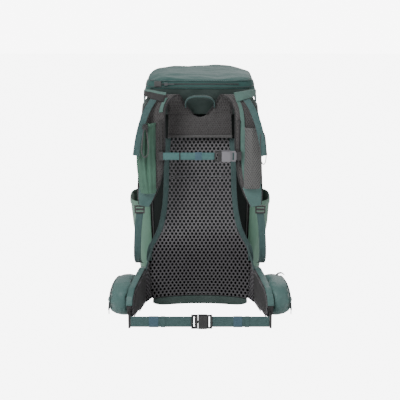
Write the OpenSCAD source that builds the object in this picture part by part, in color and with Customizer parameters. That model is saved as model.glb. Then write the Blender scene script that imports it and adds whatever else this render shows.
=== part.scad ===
// Hiking backpack with a tensioned mesh back, a swinging harness, a padded hip belt and a buckled lid.
// Origin at the middle of the flat base, +Z up, the wearer's side towards -Y. Millimetres.

/* [Bag] */
// Greatest width of the bag
bag_w = 344; // [290:2:420]
// Depth of the bag from its back panel to its front
bag_d = 220; // [180:2:270]
// Height of the bag's side seams above the floor
bag_h = 560; // [460:2:680]
// Thickness of the bag's cloth panels
cloth_t = 3; // [2:0.5:4]
// Thickness of the stiffened base
base_t = 5; // [4:0.5:8]
// Radius of the drawn-in collar's mouth
mouth_r = 45; // [35:1:60]
// How far a side pocket stands off the bag at its mouth
side_pocket_gap = 32; // [20:1:40]
// How far the front pocket stands off the bag at its mouth
front_pocket_gap = 26; // [16:1:40]

/* [Lid] */
// Depth of the lid from its hinge edge to its front
lid_d = 293; // [240:1:340]
// Width of the lid
lid_w = 312; // [260:2:380]
// Height of the lid's crown above its hinge edge
lid_rise = 44; // [36:1:60]
// Length of the lid's zip
zip_len = 210; // [160:2:220]

/* [Harness] */
// Gap between the mesh back and the bag's back panel
vent_gap = 36; // [28:1:50]
// Thickness of the foam shoulder straps
strap_t = 11; // [8:0.5:14]
// Diameter of the frame's bent tube
frame_dia = 6; // [4:0.5:8]
// Diameter of the sternum rails
rail_dia = 5; // [4:0.5:7]
// Half the distance between the sternum rails
rail_x = 104; // [90:1:120]

/* [Belt] */
// Length of a hip wing from its root to its front end
wing_len = 196; // [150:2:230]
// Thickness of a hip wing's foam
wing_t = 16; // [12:1:22]
// How far a hip pocket stands off its wing
hip_pocket_d = 56; // [30:1:64]
// Angle at which the wings spread towards their front ends
wing_spread = 9.6; // [5:0.1:14]

/* [Webbing and buckles] */
// Width of the waist webbing
waist_web_w = 30; // [24:1:40]
// Width of the shoulder, lifter and lid webbing
strap_web_w = 20; // [15:1:25]
// Thickness of all webbing
web_t = 1.8; // [1.2:0.1:2.5]
// Free play between moving plastic pieces
play = 0.6; // [0.4:0.1:1]
// Diameter of the flask pocket's elastic cord
cord_dia = 3; // [2:0.5:3.5]

/* [Hidden] */

// The harness is drawn for a pack of these sizes and stretched to the size that is set
drawn_w = 344;
drawn_h = 560;
wide = bag_w / drawn_w;
tall = bag_h / drawn_h;
back_y = -70;
front_y = back_y + bag_d;
mesh_y = back_y - vent_gap;
corner_power = 3.2;
lid_back_y = mesh_y - 27;
hinge_z = bag_h + 66;
rim_z = bag_h + 20;
lid_front_y = lid_back_y + lid_d;
yoke_y = mesh_y - 12;
front_plane_y = mesh_y - 100;
sternum_z = 457 * tall;
wing_root = [150 * wide, mesh_y - 13];
waist_z = 32;
waist_y = wing_root[1] - wing_len * cos(wing_spread) - 26;
wing_end_x = wing_root[0] + wing_len * sin(wing_spread) + wing_t / 2;
buckle_x = -9;
fine = 48;

teal = "#5a8a80";
dark_teal = "#3f6a62";
leaf = "#73967f";
mesh_grey = "#64605f";
dark_grey = "#3c3a3a";
near_black = "#262426";

// ---- shared shapes ----
function spow(v) = sign(v) * pow(abs(v), 2 / corner_power);
function unit(v) = v / norm(v);
function catmull(p0, p1, p2, p3, t) =
    0.5 * (2 * p1 + (p2 - p0) * t + (2 * p0 - 5 * p1 + 4 * p2 - p3) * t * t
    + (3 * p1 - p0 - 3 * p2 + p3) * t * t * t);
function smooth(p, steps) = [
    for (i = [0:len(p) - 2])
        for (k = [0:steps - 1])
            catmull(p[max(i - 1, 0)], p[i], p[i + 1], p[min(i + 2, len(p) - 1)], k / steps),
    p[len(p) - 1]
];
function quad(a, b, c, d) = [[a, b, c], [a, c, d]];

// A closed sheet between two point grids; rows run along the sheet and a ring joins its last column to its first
module sheet_solid(outer, inner, ring = false) {
    rows = len(outer);
    cols = len(outer[0]);
    total = rows * cols;
    last = ring ? cols - 1 : cols - 2;
    points = [for (grid = [outer, inner]) for (row = grid) for (p = row) p];
    faces = [
        for (i = [0:rows - 2]) for (j = [0:last]) let (
            a = i * cols + j,
            b = i * cols + (j + 1) % cols,
            c = b + cols,
            d = a + cols
        ) each concat(quad(d, c, b, a), quad(a + total, b + total, c + total, d + total)),
        for (j = [0:last]) let (a = j, b = (j + 1) % cols, top = (rows - 1) * cols)
            each concat(quad(a, b, b + total, a + total), quad(top + b, top + a, top + a + total, top + b + total)),
        if (!ring) for (i = [0:rows - 2]) let (a = i * cols, d = a + cols, e = cols - 1)
            each concat(quad(a, a + total, d + total, d), quad(a + e, d + e, d + e + total, a + e + total))
    ];
    polyhedron(points, faces, convexity = 8);
}

// A strap between two edge lines, with its thickness square to its face
module band(edge_a, edge_b, thick) {
    count = len(edge_a);
    mid = [for (i = [0:count - 1]) (edge_a[i] + edge_b[i]) / 2];
    way = [for (i = [0:count - 1]) unit(mid[min(i + 1, count - 1)] - mid[max(i - 1, 0)])];
    side = [for (i = [0:count - 1]) unit(cross(way[i], edge_b[i] - edge_a[i])) * thick / 2];
    points = [for (i = [0:count - 1]) each [
        edge_a[i] - side[i], edge_b[i] - side[i], edge_b[i] + side[i], edge_a[i] + side[i]
    ]];
    faces = [
        [0, 1, 2], [0, 2, 3],
        for (i = [0:count - 2]) for (j = [0:3]) let (a = i * 4 + j, b = i * 4 + (j + 1) % 4)
            each quad(a, a + 4, b + 4, b),
        for (e = [(count - 1) * 4]) each [[e + 2, e + 1, e], [e + 3, e + 2, e]]
    ];
    polyhedron(points, faces, convexity = 6);
}

// Webbing of even width that follows a path, its width lying along the direction given
module webbing(path, across, width, thick = web_t) {
    band([for (p = path) p - across * width / 2], [for (p = path) p + across * width / 2], thick);
}

// A round cord swept along points
module cord(path, dia, sides = 8) {
    count = len(path);
    way = [for (i = [0:count - 1]) unit(path[min(i + 1, count - 1)] - path[max(i - 1, 0)])];
    points = [for (i = [0:count - 1]) let (u = unit(cross(way[i], [0, 1, 0])), v = cross(way[i], u))
        for (k = [0:sides - 1]) path[i] + (u * cos(k * 360 / sides) + v * sin(k * 360 / sides)) * dia / 2];
    faces = [
        [for (k = [0:sides - 1]) k],
        for (i = [0:count - 2]) for (k = [0:sides - 1]) let (a = i * sides + k, b = i * sides + (k + 1) % sides)
            each quad(a, a + sides, b + sides, b),
        [for (k = [sides - 1:-1:0]) (count - 1) * sides + k]
    ];
    polyhedron(points, faces, convexity = 6);
}

module flipped(left) {
    if (left) mirror([1, 0, 0]) children();
    else children();
}

module slot_block(size, slots) {
    difference() {
        translate(-size / 2) cube(size);
        for (s = slots) translate(s[0] - s[1] / 2) cube(s[1]);
    }
}

// ---- bag ----
function bag_half_w(z) = bag_w / 2 * lookup(z / tall, [[0, 0.82], [60, 0.91], [250, 0.965], [480, 1], [560, 0.96]]);
function bag_back(z) = lookup(z / tall, [[0, back_y], [470, back_y], [520, back_y - 8], [560, mesh_y + 12]]);
function bag_front(z) = front_y + lookup(z / tall, [[0, -45], [60, -22], [280, 0], [490, 0], [560, -14]]);
function bag_point(a, z, off = 0) = let (back = bag_back(z), front = bag_front(z)) [
    (bag_half_w(z) + off) * spow(cos(a)),
    (front + back) / 2 + ((front - back) / 2 + off) * spow(sin(a)),
    z
];
bag_rows = [for (k = [0:12]) base_t + (bag_h - base_t) * k / 12];

module bag_sector(from, to) {
    angles = [for (k = [0:10]) from + (to - from) * k / 10];
    sheet_solid(
        [for (z = bag_rows) [for (a = angles) bag_point(a, z)]],
        [for (z = bag_rows) [for (a = angles) bag_point(a, z, -cloth_t)]]
    );
}

module base_panel() {
    color(dark_teal) linear_extrude(base_t)
        polygon([for (a = [0:8:352]) let (p = bag_point(a, base_t)) [p[0], p[1]]]);
}

module back_panel() { color(dark_grey) bag_sector(225, 315); }
module front_panel() { color(teal) bag_sector(45, 135); }
module side_panel_left() { color(dark_grey) bag_sector(135, 225); }
module side_panel_right() { color(dark_grey) bag_sector(-45, 45); }

mouth_y = (bag_front(bag_h) + bag_back(bag_h)) / 2;
mouth_z = bag_h + 46;
function collar_point(a, t, off) = let (
    edge = bag_point(a, bag_h, off),
    mouth = [(mouth_r + off) * cos(a), mouth_y + (mouth_r + off) * sin(a), mouth_z]
) [
    edge[0] + (mouth[0] - edge[0]) * pow(t, 1.3),
    edge[1] + (mouth[1] - edge[1]) * pow(t, 1.3),
    bag_h + (mouth_z - bag_h) * pow(t, 0.8)
];

module collar() {
    color(dark_teal) sheet_solid(
        [for (t = [0:0.2:1]) [for (a = [0:10:350]) collar_point(a, t, 0)]],
        [for (t = [0:0.2:1]) [for (a = [0:10:350]) collar_point(a, t, -cloth_t)]],
        ring = true
    );
}

collar_cord_r = 1.6;
module collar_drawcord() {
    color(near_black) translate([0, mouth_y, mouth_z + collar_cord_r + 0.2])
        rotate_extrude($fn = fine) translate([mouth_r - cloth_t / 2, 0]) circle(collar_cord_r, $fn = 16);
}

// ---- cord locks: a drilled barrel and a sprung plunger along its axis ----
lock_r = 7.5;
lock_len = 17;
plunger_r = 4.6;
plunger_len = 15;
plunger_travel = 3;
lock_bore_len = plunger_len - plunger_travel + play;

module lock_barrel() {
    difference() {
        cylinder(h = lock_len, r = lock_r, $fn = fine);
        translate([0, 0, lock_len - lock_bore_len]) cylinder(h = lock_bore_len + 1, r = plunger_r + play / 2, $fn = fine);
    }
}

module lock_plunger() {
    translate([0, 0, lock_len - lock_bore_len + plunger_travel + play]) cylinder(h = plunger_len - 1.2, r = plunger_r, $fn = fine);
}

collar_lock_at = [0, mouth_y - mouth_r - 2, mouth_z + lock_r + 1.5];
module collar_cord_lock() { color(near_black) translate(collar_lock_at) rotate([90, 0, 0]) lock_barrel(); }
module collar_lock_button() { color(dark_grey) translate(collar_lock_at) rotate([90, 0, 0]) lock_plunger(); }

// ---- frame: a bent tube hoop behind the mesh, with two cross bars bowed onto the back panel ----
hoop_y = mesh_y + 5 + frame_dia / 2;
hoop_low = [112 * wide, 34 * tall];
hoop_top = [84 * wide, 540 * tall];
hoop_bend = 30;

// The hoop's sides lean in by this angle, and its bends turn that much less or more than a right angle
hoop_lean = atan((hoop_low[0] - hoop_top[0]) / (hoop_top[1] - hoop_low[1] - 2 * hoop_bend));
low_bend_mid = [hoop_low[0] - hoop_bend, hoop_low[1] + hoop_bend];
top_bend_mid = [hoop_top[0] - hoop_bend, hoop_top[1] - hoop_bend];

// The hoop is bent lengths of tube that butt together on their joining pins with this gap
tube_gap = 0.05;
module hoop_arc(mid, from, sweep) {
    translate([mid[0], hoop_y, mid[1]]) rotate([90, 0, 0]) rotate([0, 0, from])
        rotate_extrude(angle = sweep, $fn = 120) translate([hoop_bend, 0]) circle(frame_dia / 2, $fn = 24);
}

module hoop_side() {
    start = low_bend_mid + hoop_bend * [cos(hoop_lean), sin(hoop_lean)];
    end = top_bend_mid + hoop_bend * [cos(hoop_lean), sin(hoop_lean)];
    way = end - start;
    translate([start[0], hoop_y, start[1]]) rotate([0, atan2(way[0], way[1]), 0])
        translate([0, 0, tube_gap]) cylinder(h = norm(way) - 2 * tube_gap, r = frame_dia / 2, $fn = fine);
    hoop_arc(low_bend_mid, -90, 90 + hoop_lean);
    hoop_arc(top_bend_mid, hoop_lean, 90 - hoop_lean);
}

module hoop_bar(half, z) {
    length = 2 * half - 2 * tube_gap;
    translate([-length / 2, hoop_y, z]) rotate([0, 90, 0]) cylinder(h = length, r = frame_dia / 2, $fn = fine);
}

module frame_hoop() {
    color("silver") {
        hoop_side();
        mirror([1, 0, 0]) hoop_side();
        hoop_bar(low_bend_mid[0], hoop_low[1]);
        hoop_bar(top_bend_mid[0], hoop_top[1]);
    }
}

cross_bar_dia = 4;
function hoop_half(z) = let (z0 = hoop_low[1] + hoop_bend, z1 = hoop_top[1] - hoop_bend)
    hoop_low[0] + (hoop_top[0] - hoop_low[0]) * (z - z0) / (z1 - z0);
module frame_cross_bars() {
    bow = back_y - hoop_y - cross_bar_dia / 2 - 1;
    color("silver") for (z = [170, 370] * tall) {
        half = hoop_half(z) - frame_dia / 4;
        radius = (half * half + bow * bow) / (2 * bow);
        turn = asin(half / radius);
        translate([0, hoop_y + bow - radius, z]) rotate([0, 0, 90 - turn])
            rotate_extrude(angle = 2 * turn, $fn = 180) translate([radius, 0]) circle(cross_bar_dia / 2, $fn = 16);
    }
}

// ---- back: lumbar shelf, mesh and yoke ----
mesh_t = 2;
mesh_low = 26;
function mesh_half(z) = wide * lookup(z / tall, [
    [26, 136], [60, 143], [120, 146], [155, 146], [175, 141], [195, 130], [215, 120], [240, 111],
    [280, 103], [330, 98], [440, 94], [484, 90]
]);
function mesh_sweep(z) = 38 * pow(max(0, 1 - z / tall / 175), 1.4);
function mesh_depth(z) = mesh_y - lookup(z / tall, [[26, -4], [90, 6], [160, 9], [300, 2], [484, 0]]);
function mesh_point(u, z, off) = [
    mesh_half(z) * u,
    mesh_depth(z) - mesh_sweep(z) * pow(abs(u), 2.2) + off,
    z
];
mesh_rows = [for (z = [26, 40, 60, 90, 120, 155, 175, 195, 215, 240, 280, 330, 385, 440, 484]) z * tall];

module mesh_panel() {
    color(mesh_grey) sheet_solid(
        [for (z = mesh_rows) [for (u = [-1:0.125:1]) mesh_point(u, z, -mesh_t)]],
        [for (z = mesh_rows) [for (u = [-1:0.125:1]) mesh_point(u, z, 0)]]
    );
}

shelf_h = mesh_low - 1;
module lumbar_shelf() {
    rear = [for (u = [-1:0.1:1]) let (p = mesh_point(u, mesh_low * tall, -mesh_t)) [p[0], p[1]]];
    half = bag_half_w(base_t) * 0.8;
    color(dark_teal) linear_extrude(shelf_h * tall)
        polygon(concat(rear, [[half, back_y - 1], [-half, back_y - 1]]));
}

yoke_t = 9;
yoke_low = 490;
horn_in = 43;
horn_out = 88;
module yoke() {
    horn_inner = smooth([
        [horn_in, yoke_y, 560], [horn_in, yoke_y - 8, 588], [horn_in + 1, yoke_y - 22, 606],
        [horn_in + 8, yoke_y - 40, 614]
    ], 4);
    horn_outer = smooth([
        [horn_out, yoke_y, 556], [horn_out, yoke_y - 8, 585], [horn_out + 4, yoke_y - 22, 603],
        [horn_out + 14, yoke_y - 39, 611]
    ], 4);
    color(dark_grey) {
        translate([-90 * wide, yoke_y - yoke_t / 2, yoke_low * tall])
            cube([180 * wide, yoke_t, (560 - yoke_low) * tall - 0.5]);
        for (left = [false, true]) flipped(left)
            band([for (p = horn_inner) crest(p)], [for (p = horn_outer) crest(p)], yoke_t);
    }
}

// Points near the crest keep their height above the bag's seam
function crest(p) = [p[0] * wide, p[1], p[2] - drawn_h + bag_h];

// Cloth from the top of the back panel up to the lid's hinge edge
flap_rows = [[560, 21], [575, 13], [588, 6], [606, -6], [624, -14]];
module lid_flap() {
    half = lid_w / 2 - 8;
    function at(u, row, off) = crest([half * u, yoke_y + row[1] + off, row[0]]);
    color(dark_teal) sheet_solid(
        [for (row = flap_rows) [for (u = [-1:0.25:1]) at(u, row, 0)]],
        [for (row = flap_rows) [for (u = [-1:0.25:1]) at(u, row, cloth_t)]]
    );
}

handle_t = 4;
handle_rows = [[39, -6, 574], [39, -12, 588], [32, -20, 600], [18, -26, 606], [0, -27, 607]];
module grab_handle() {
    rise = [for (p = handle_rows) [-p[0], p[1], p[2]]];
    fall = [for (i = [3:-1:0]) handle_rows[i]];
    path = smooth([for (p = concat(rise, fall)) crest([p[0], yoke_y + p[1], p[2]])], 3);
    color(teal) webbing(path, [0, 1, 0], strap_web_w, handle_t);
}

// ---- pockets on the bag ----
pocket_seam = 3.5;
module bag_pocket(from, to, low, high, gap) {
    angles = [for (k = [0:12]) from + (to - from) * k / 12];
    rows = [for (k = [0:6]) low + (high - low) * k / 6];
    function stand(a, z) = pocket_seam + gap * pow(sin(180 * (a - from) / (to - from)), 0.7) * pow((z - low) / (high - low), 0.6);
    sheet_solid(
        [for (z = rows) [for (a = angles) bag_point(a, z, stand(a, z) + cloth_t)]],
        [for (z = rows) [for (a = angles) bag_point(a, z, stand(a, z))]]
    );
}

module side_pocket_right() { color(leaf) bag_pocket(-43, 43, 22 * tall, 288 * tall, side_pocket_gap); }
module side_pocket_left() { color(leaf) bag_pocket(137, 223, 22 * tall, 288 * tall, side_pocket_gap); }
module front_pocket() { color(dark_teal) bag_pocket(48, 132, 30 * tall, 420 * tall, front_pocket_gap); }

// ---- side-release buckles: the plug lies along +X from the socket's mouth at the local origin ----
buckle_t = 13;
buckle_wall = 3;
prong_len = 20;
prong_w = 6;
tail_len = 18;
function socket_w(web) = web + 8;

module socket_shell(web) {
    width = socket_w(web);
    body = prong_len + buckle_wall + play;
    inside_t = buckle_t - 2 * buckle_wall;
    difference() {
        union() {
            translate([-body, -buckle_t / 2, -width / 2]) cube([body, buckle_t, width]);
            translate([-body - tail_len + 4, -3, -width / 2]) cube([tail_len - 4, 6, width]);
        }
        translate([-prong_len - play, -inside_t / 2, -width / 2 + buckle_wall])
            cube([prong_len + play + 1, inside_t, width - 2 * buckle_wall]);
        translate([-prong_len - play, -inside_t / 2, -width / 2 - 1]) cube([11, inside_t, width + 2]);
        translate([-body - tail_len + 8, -4, -web / 2 - 0.5]) cube([5, 8, web + 1]);
    }
}

module plug_base(web) {
    width = socket_w(web);
    difference() {
        translate([play, -4, -width / 2]) cube([tail_len, 8, width]);
        translate([10, -5, -web / 2 - 0.5]) cube([5, 10, web + 1]);
    }
    guide_t = buckle_t - 2 * buckle_wall - 2 * play;
    translate([-prong_len + 5, -guide_t / 2, -2.5]) cube([prong_len - 4, guide_t, 5]);
}

// A prong as its own lever: it bends about its root and its barb fills the socket's side window
module plug_prong(web, top) {
    width = socket_w(web);
    guide_t = buckle_t - 2 * buckle_wall - 2 * play;
    reach = width / 2 - buckle_wall - play;
    mirror([0, 0, top ? 0 : 1]) {
        translate([-prong_len, -guide_t / 2, reach - prong_w]) cube([prong_len, guide_t, prong_w]);
        translate([-prong_len, -guide_t / 2, reach]) cube([9, guide_t, play / 2]);
    }
}

// ---- lid ----
lid_mid_y = (lid_back_y + lid_front_y) / 2;
lid_side_rows = [0, 0.35, 0.7, 1];
lid_crown_rows = [0.22, 0.42, 0.6, 0.76, 0.88, 0.96];
shoulder_z = hinge_z + 14;
crown_z = hinge_z + lid_rise;
function rim_height(a) = let (k = min(1, max(0, (-sin(a) - 0.35) / 0.4)))
    rim_z + (hinge_z - rim_z) * k * k * (3 - 2 * k);
// The lid's outline is squarer along its hinge edge than round its front
function lid_power(a) = sin(a) < 0 ? 2 / 7 : 2 / 3.6;
function lid_point(a, z, share, off) = [
    (lid_w / 2 * wide + off) * share * sign(cos(a)) * pow(abs(cos(a)), lid_power(a)),
    lid_mid_y + (lid_d / 2 + off) * share * sign(sin(a)) * pow(abs(sin(a)), lid_power(a)),
    z
];
function lid_rows(off) = concat(
    [for (k = lid_side_rows) [for (a = [0:7.5:352.5]) let (low = rim_height(a))
        lid_point(a, low + (shoulder_z - low) * k, 1, off)]],
    [for (u = lid_crown_rows) [for (a = [0:7.5:352.5])
        lid_point(a, shoulder_z + (crown_z - shoulder_z + off) * pow(sin(90 * u), 0.8), pow(cos(90 * u), 0.45), off)]]
);

module dome_solid(outer, inner, outer_top, inner_top) {
    rows = len(outer);
    cols = len(outer[0]);
    total = rows * cols;
    points = concat([for (grid = [outer, inner]) for (row = grid) for (p = row) p], [outer_top, inner_top]);
    faces = [
        for (i = [0:rows - 2]) for (j = [0:cols - 1]) let (
            a = i * cols + j, b = i * cols + (j + 1) % cols, c = b + cols, d = a + cols
        ) each concat(quad(d, c, b, a), quad(a + total, b + total, c + total, d + total)),
        for (j = [0:cols - 1]) let (a = j, b = (j + 1) % cols, top = (rows - 1) * cols)
            each concat(
                quad(a, b, b + total, a + total),
                [[top + a, 2 * total, top + b], [top + b + total, 2 * total + 1, top + a + total]]
            )
    ];
    polyhedron(points, faces, convexity = 8);
}

lid_t = 2.5;
module lid_shell() {
    color(teal) dome_solid(
        lid_rows(0), lid_rows(-lid_t),
        [0, lid_mid_y, crown_z], [0, lid_mid_y, crown_z - lid_t]
    );
}

liner_t = 2;
module lid_liner() {
    color(dark_teal) translate([0, 0, hinge_z + 1]) linear_extrude(liner_t)
        polygon([for (a = [0:7.5:352.5]) let (p = lid_point(a, 0, 1, -lid_t - 0.4)) [p[0], p[1]]]);
}

track_t = 1.2;
zip_z = shoulder_z - 1;
zip_y = lid_back_y - track_t - 0.3;
module lid_zip_track() {
    color(near_black) translate([-zip_len / 2 * wide, zip_y, zip_z - 3]) cube([zip_len * wide, track_t, 6]);
}

slider_t = 2.2;
module lid_zip_slider() {
    at = -zip_len / 2 * wide + 8;
    color(near_black) translate([at, zip_y - slider_t - play, zip_z - 4]) {
        cube([9, slider_t, 8]);
        translate([9, 0.4, 2.5]) cube([18, slider_t - 0.8, 3]);
    }
}

// ---- lid straps with their plugs, and the sockets on the front ----
lid_strap_x = 85 * wide;
lid_strap_y = lid_front_y + 3;
lid_mouth_z = rim_z - 82;

module lid_strap() {
    translate([lid_strap_x, lid_strap_y, 0]) {
        top = rim_z - 2;
        translate([-strap_web_w / 2, -web_t / 2, lid_mouth_z + play + tail_len + 0.3])
            cube([strap_web_w, web_t, top - lid_mouth_z - play - tail_len]);
        translate([0, 0, lid_mouth_z]) rotate([0, -90, 0]) {
            plug_base(strap_web_w);
            for (top_side = [true, false]) plug_straight_prong(strap_web_w, top_side);
        }
    }
}

// A prong of a small buckle, moulded in one with its plug
module plug_straight_prong(web, top) {
    guide_t = buckle_t - 2 * buckle_wall - 2 * play;
    reach = socket_w(web) / 2 - buckle_wall - play;
    mirror([0, 0, top ? 0 : 1])
        translate([-prong_len + 1, -guide_t / 2, reach - prong_w + 2]) cube([prong_len + play, guide_t, prong_w - 2]);
}

module lid_strap_left() { color(near_black) mirror([1, 0, 0]) lid_strap(); }
module lid_strap_right() { color(near_black) lid_strap(); }

module lid_buckle_sockets() {
    color(near_black) for (left = [false, true]) flipped(left) {
        translate([lid_strap_x, lid_strap_y, lid_mouth_z]) rotate([0, -90, 0]) socket_shell(strap_web_w);
        translate([lid_strap_x - strap_web_w / 2, front_y - 4, lid_mouth_z - prong_len - 18])
            cube([strap_web_w, lid_strap_y - 6.7 - front_y + 4, 16]);
    }
}

// ---- shoulder straps ----
pivot_y = yoke_y - 44;
function strap_inner() = smooth([for (p = [
    [60, pivot_y - 1, 614], [80, pivot_y - 20, 603], [92, front_plane_y + 12, 578],
    [94, front_plane_y + 6, 535], [94, front_plane_y + 6, 480], [98, front_plane_y + 8, 430],
    [107, front_plane_y + 13, 380], [122, front_plane_y + 21, 340], [139, front_plane_y + 31, 308]
]) strap_place(p)], 3);
function strap_outer() = smooth([for (p = [
    [106, pivot_y - 1, 611], [137, pivot_y - 18, 598], [153, front_plane_y + 15, 574],
    [163, front_plane_y + 9, 532], [164, front_plane_y + 8, 478], [166, front_plane_y + 10, 430],
    [168, front_plane_y + 14, 384], [170, front_plane_y + 21, 346], [168, front_plane_y + 30, 314]
]) strap_place(p)], 3);
// Below the crest the strap stretches with the bag; its crest keeps its height above the seam
function strap_place(p) = [p[0] * wide, p[1], p[2] > 570 ? p[2] - drawn_h + bag_h : p[2] * tall];

module shoulder_strap_right() { color(dark_grey) band(strap_inner(), strap_outer(), strap_t); }
module shoulder_strap_left() { color(dark_grey) mirror([1, 0, 0]) band(strap_inner(), strap_outer(), strap_t); }

rail_y = front_plane_y - 4.5;
rail_low = 430 * tall;
rail_top = 552 * tall;
rail_foot = 7;
module sternum_rail() {
    translate([rail_x * wide, rail_y, rail_low]) cylinder(h = rail_top - rail_low, r = rail_dia / 2, $fn = fine);
    for (z = [rail_low, rail_top - 8]) translate([rail_x * wide - 4, rail_y, z]) cube([8, rail_foot, 8]);
}
module sternum_rail_right() { color(near_black) sternum_rail(); }
module sternum_rail_left() { color(near_black) mirror([1, 0, 0]) sternum_rail(); }

// ---- pockets on the straps ----
module strap_pocket(low, high, inner_x, outer_x, gap, bulge) {
    rows = [for (k = [0:8]) k / 8];
    cols = [for (k = [0:8]) k / 8];
    face_y = front_plane_y + 1;
    function at(u, v, off) = let (z = low + (high - low) * v) [
        wide * (inner_x + (outer_x + bulge * sin(180 * v) - inner_x) * u),
        face_y - off - gap * pow(sin(180 * u), 0.8) * (0.45 + 0.55 * v),
        z
    ];
    sheet_solid(
        [for (v = rows) [for (u = cols) at(u, v, cloth_t)]],
        [for (v = rows) [for (u = cols) at(u, v, 1)]]
    );
}

flask_low = 352;
flask_top = 548;
pocket_in = 119;
module flask_pocket() {
    color(leaf) mirror([1, 0, 0]) strap_pocket(flask_low * tall, flask_top * tall, pocket_in, 160, 24, 12);
}

module strap_mesh_pocket() {
    color(dark_grey) strap_pocket(365 * tall, 535 * tall, pocket_in, 162, 18, 4);
}

// ---- flask pocket's cord lock and its hanging loop of elastic ----
flask_lock_at = [-145 * wide, front_plane_y - 30, 541 * tall];
module flask_cord_lock() { color(dark_grey) translate(flask_lock_at) rotate([90, 0, 0]) lock_barrel(); }
module flask_lock_button() { color(near_black) translate(flask_lock_at) rotate([90, 0, 0]) lock_plunger(); }

// Route of the loop below the lock, from the lock's middle down, round and up again
cord_route = [
    [-4, 0, 0], [-4, 0, -5], [-5, 0, -12], [-6, 1, -22], [-8, 1, -34], [-9, 1, -46], [-10, 1, -57],
    [-9, 1, -66], [-6, 1, -73], [-1, 1, -76], [4, 1, -73], [7, 1, -66], [8, 1, -57], [8, 1, -46],
    [7, 1, -34], [6, 1, -22], [5, 0, -12], [4, 0, -5], [4, 0, 0]
];
module flask_cord() {
    start = flask_lock_at + [0, -lock_len / 3, 1.5 - lock_r];
    color(near_black) cord(smooth([for (p = cord_route) start + p], 2), cord_dia);
}

// ---- load lifters ----
lifter_side = 152;
module load_lifter() {
    upper = smooth([for (p = [
        [101, pivot_y + 7, 625], [120, pivot_y + 18, 624], [140, pivot_y + 30, 625], [lifter_side, yoke_y - 12, 624]
    ]) crest(p)], 2);
    lower = smooth([for (p = [
        [108, pivot_y + 19, 608], [124, pivot_y + 24, 606], [141, pivot_y + 36, 607], [lifter_side, yoke_y - 5, 606]
    ]) crest(p)], 2);
    band(upper, lower, web_t);
    tail = smooth([for (p = [
        [150, pivot_y - 5, 626], [160, pivot_y - 38, 600], [171, pivot_y - 62, 560], [180, front_plane_y + 6, 520],
        [184, front_plane_y + 12, 470]
    ]) crest(p)], 4);
    webbing(tail, [0.45, -0.89, 0], strap_web_w);
}
module load_lifter_right() { color(leaf) load_lifter(); }
module load_lifter_left() { color(teal) mirror([1, 0, 0]) load_lifter(); }

// ---- ladder locks under the straps and the webbing down to the belt ----
strap_lock_at = [166 * wide, front_plane_y + 35, 298 * tall];
module strap_ladder_lock() {
    translate(strap_lock_at) rotate([0, 90, 0])
        slot_block([22, 5, strap_web_w + 8], [
            [[-5, 0, 0], [4.5, 10, strap_web_w + 1]], [[5, 0, 0], [4.5, 10, strap_web_w + 1]]
        ]);
}
module strap_ladder_lock_right() { color(near_black) strap_ladder_lock(); }
module strap_ladder_lock_left() { color(near_black) mirror([1, 0, 0]) strap_ladder_lock(); }

module lower_webbing() {
    path = smooth([
        strap_lock_at + [0, 1, -12], [171 * wide, front_plane_y + 42, 245 * tall],
        [175 * wide, mesh_y - 42, 185 * tall], [176 * wide, mesh_y - 24, wing_top + 28],
        [174 * wide, mesh_y - 4, wing_top + 8], [171 * wide, back_y - 6, wing_top - 4]
    ], 3);
    webbing(path, [1, 0, 0], strap_web_w);
}
module lower_webbing_right() { color(teal) lower_webbing(); }
module lower_webbing_left() { color(teal) mirror([1, 0, 0]) lower_webbing(); }

// ---- sternum strap ----
slider_h = strap_web_w + 4;
module sternum_slider() {
    translate([rail_x * wide, rail_y, sternum_z]) difference() {
        translate([-6, -7, -slider_h / 2]) cube([13, 11, slider_h]);
        translate([0, 0, -slider_h]) cylinder(h = 2 * slider_h, r = rail_dia / 2 + play / 2, $fn = fine);
    }
}
sternum_web_y = rail_y - 7 - web_t / 2 - 0.3;
sternum_mouth_x = 58 * wide;
module sternum_slider_right() { color(dark_grey) sternum_slider(); }
module sternum_slider_left() { color(dark_grey) mirror([1, 0, 0]) sternum_slider(); }

module sternum_webbing() {
    from = -rail_x * wide + 5;
    to = sternum_mouth_x - play - tail_len - 0.3;
    color(teal) translate([from, sternum_web_y - web_t / 2, sternum_z - strap_web_w / 2])
        cube([to - from, web_t, strap_web_w]);
}

module sternum_buckle_plug() {
    color(near_black) translate([sternum_mouth_x, sternum_web_y, sternum_z]) mirror([1, 0, 0]) {
        plug_base(strap_web_w);
        for (top_side = [true, false]) plug_straight_prong(strap_web_w, top_side);
    }
}

module sternum_buckle_socket() {
    reach = rail_x * wide - 8 - sternum_mouth_x;
    start = prong_len + buckle_wall + play + tail_len - 4;
    color("#96929a") translate([sternum_mouth_x, sternum_web_y, sternum_z]) {
        mirror([1, 0, 0]) socket_shell(strap_web_w);
        translate([start - 1, -1.5, -strap_web_w / 2]) cube([reach - start + 3, 3, strap_web_w]);
    }
}

// ---- hip belt, drawn in a wing's own frame: +X outwards, -Y towards its front end ----
module wing_frame(left) {
    flipped(left) translate([wing_root[0], wing_root[1], 0]) rotate([0, 0, wing_spread]) children();
}

wing_top = 120;
wing_shape = [
    [1, 16], [1, 116], [30, wing_top], [100, 113], [160, 103], [186, 86], [196, 62], [192, 38], [172, 27],
    [100, 18], [40, 14]
];
tab_end = wing_len + 2;
tab_len = 14;
module wing_solid() {
    stretch = wing_len / 196;
    rotate([90, 0, -90]) mirror([0, 0, 1]) linear_extrude(wing_t)
        polygon([for (p = wing_shape) [p[0] * stretch, p[1]]]);
    translate([wing_t / 2 - 1, -tab_end, waist_z - waist_web_w / 2]) cube([2, tab_len, waist_web_w]);
}
module hip_wing_right() { color(mesh_grey) wing_frame(false) wing_solid(); }
module hip_wing_left() { color(mesh_grey) wing_frame(true) wing_solid(); }

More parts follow.
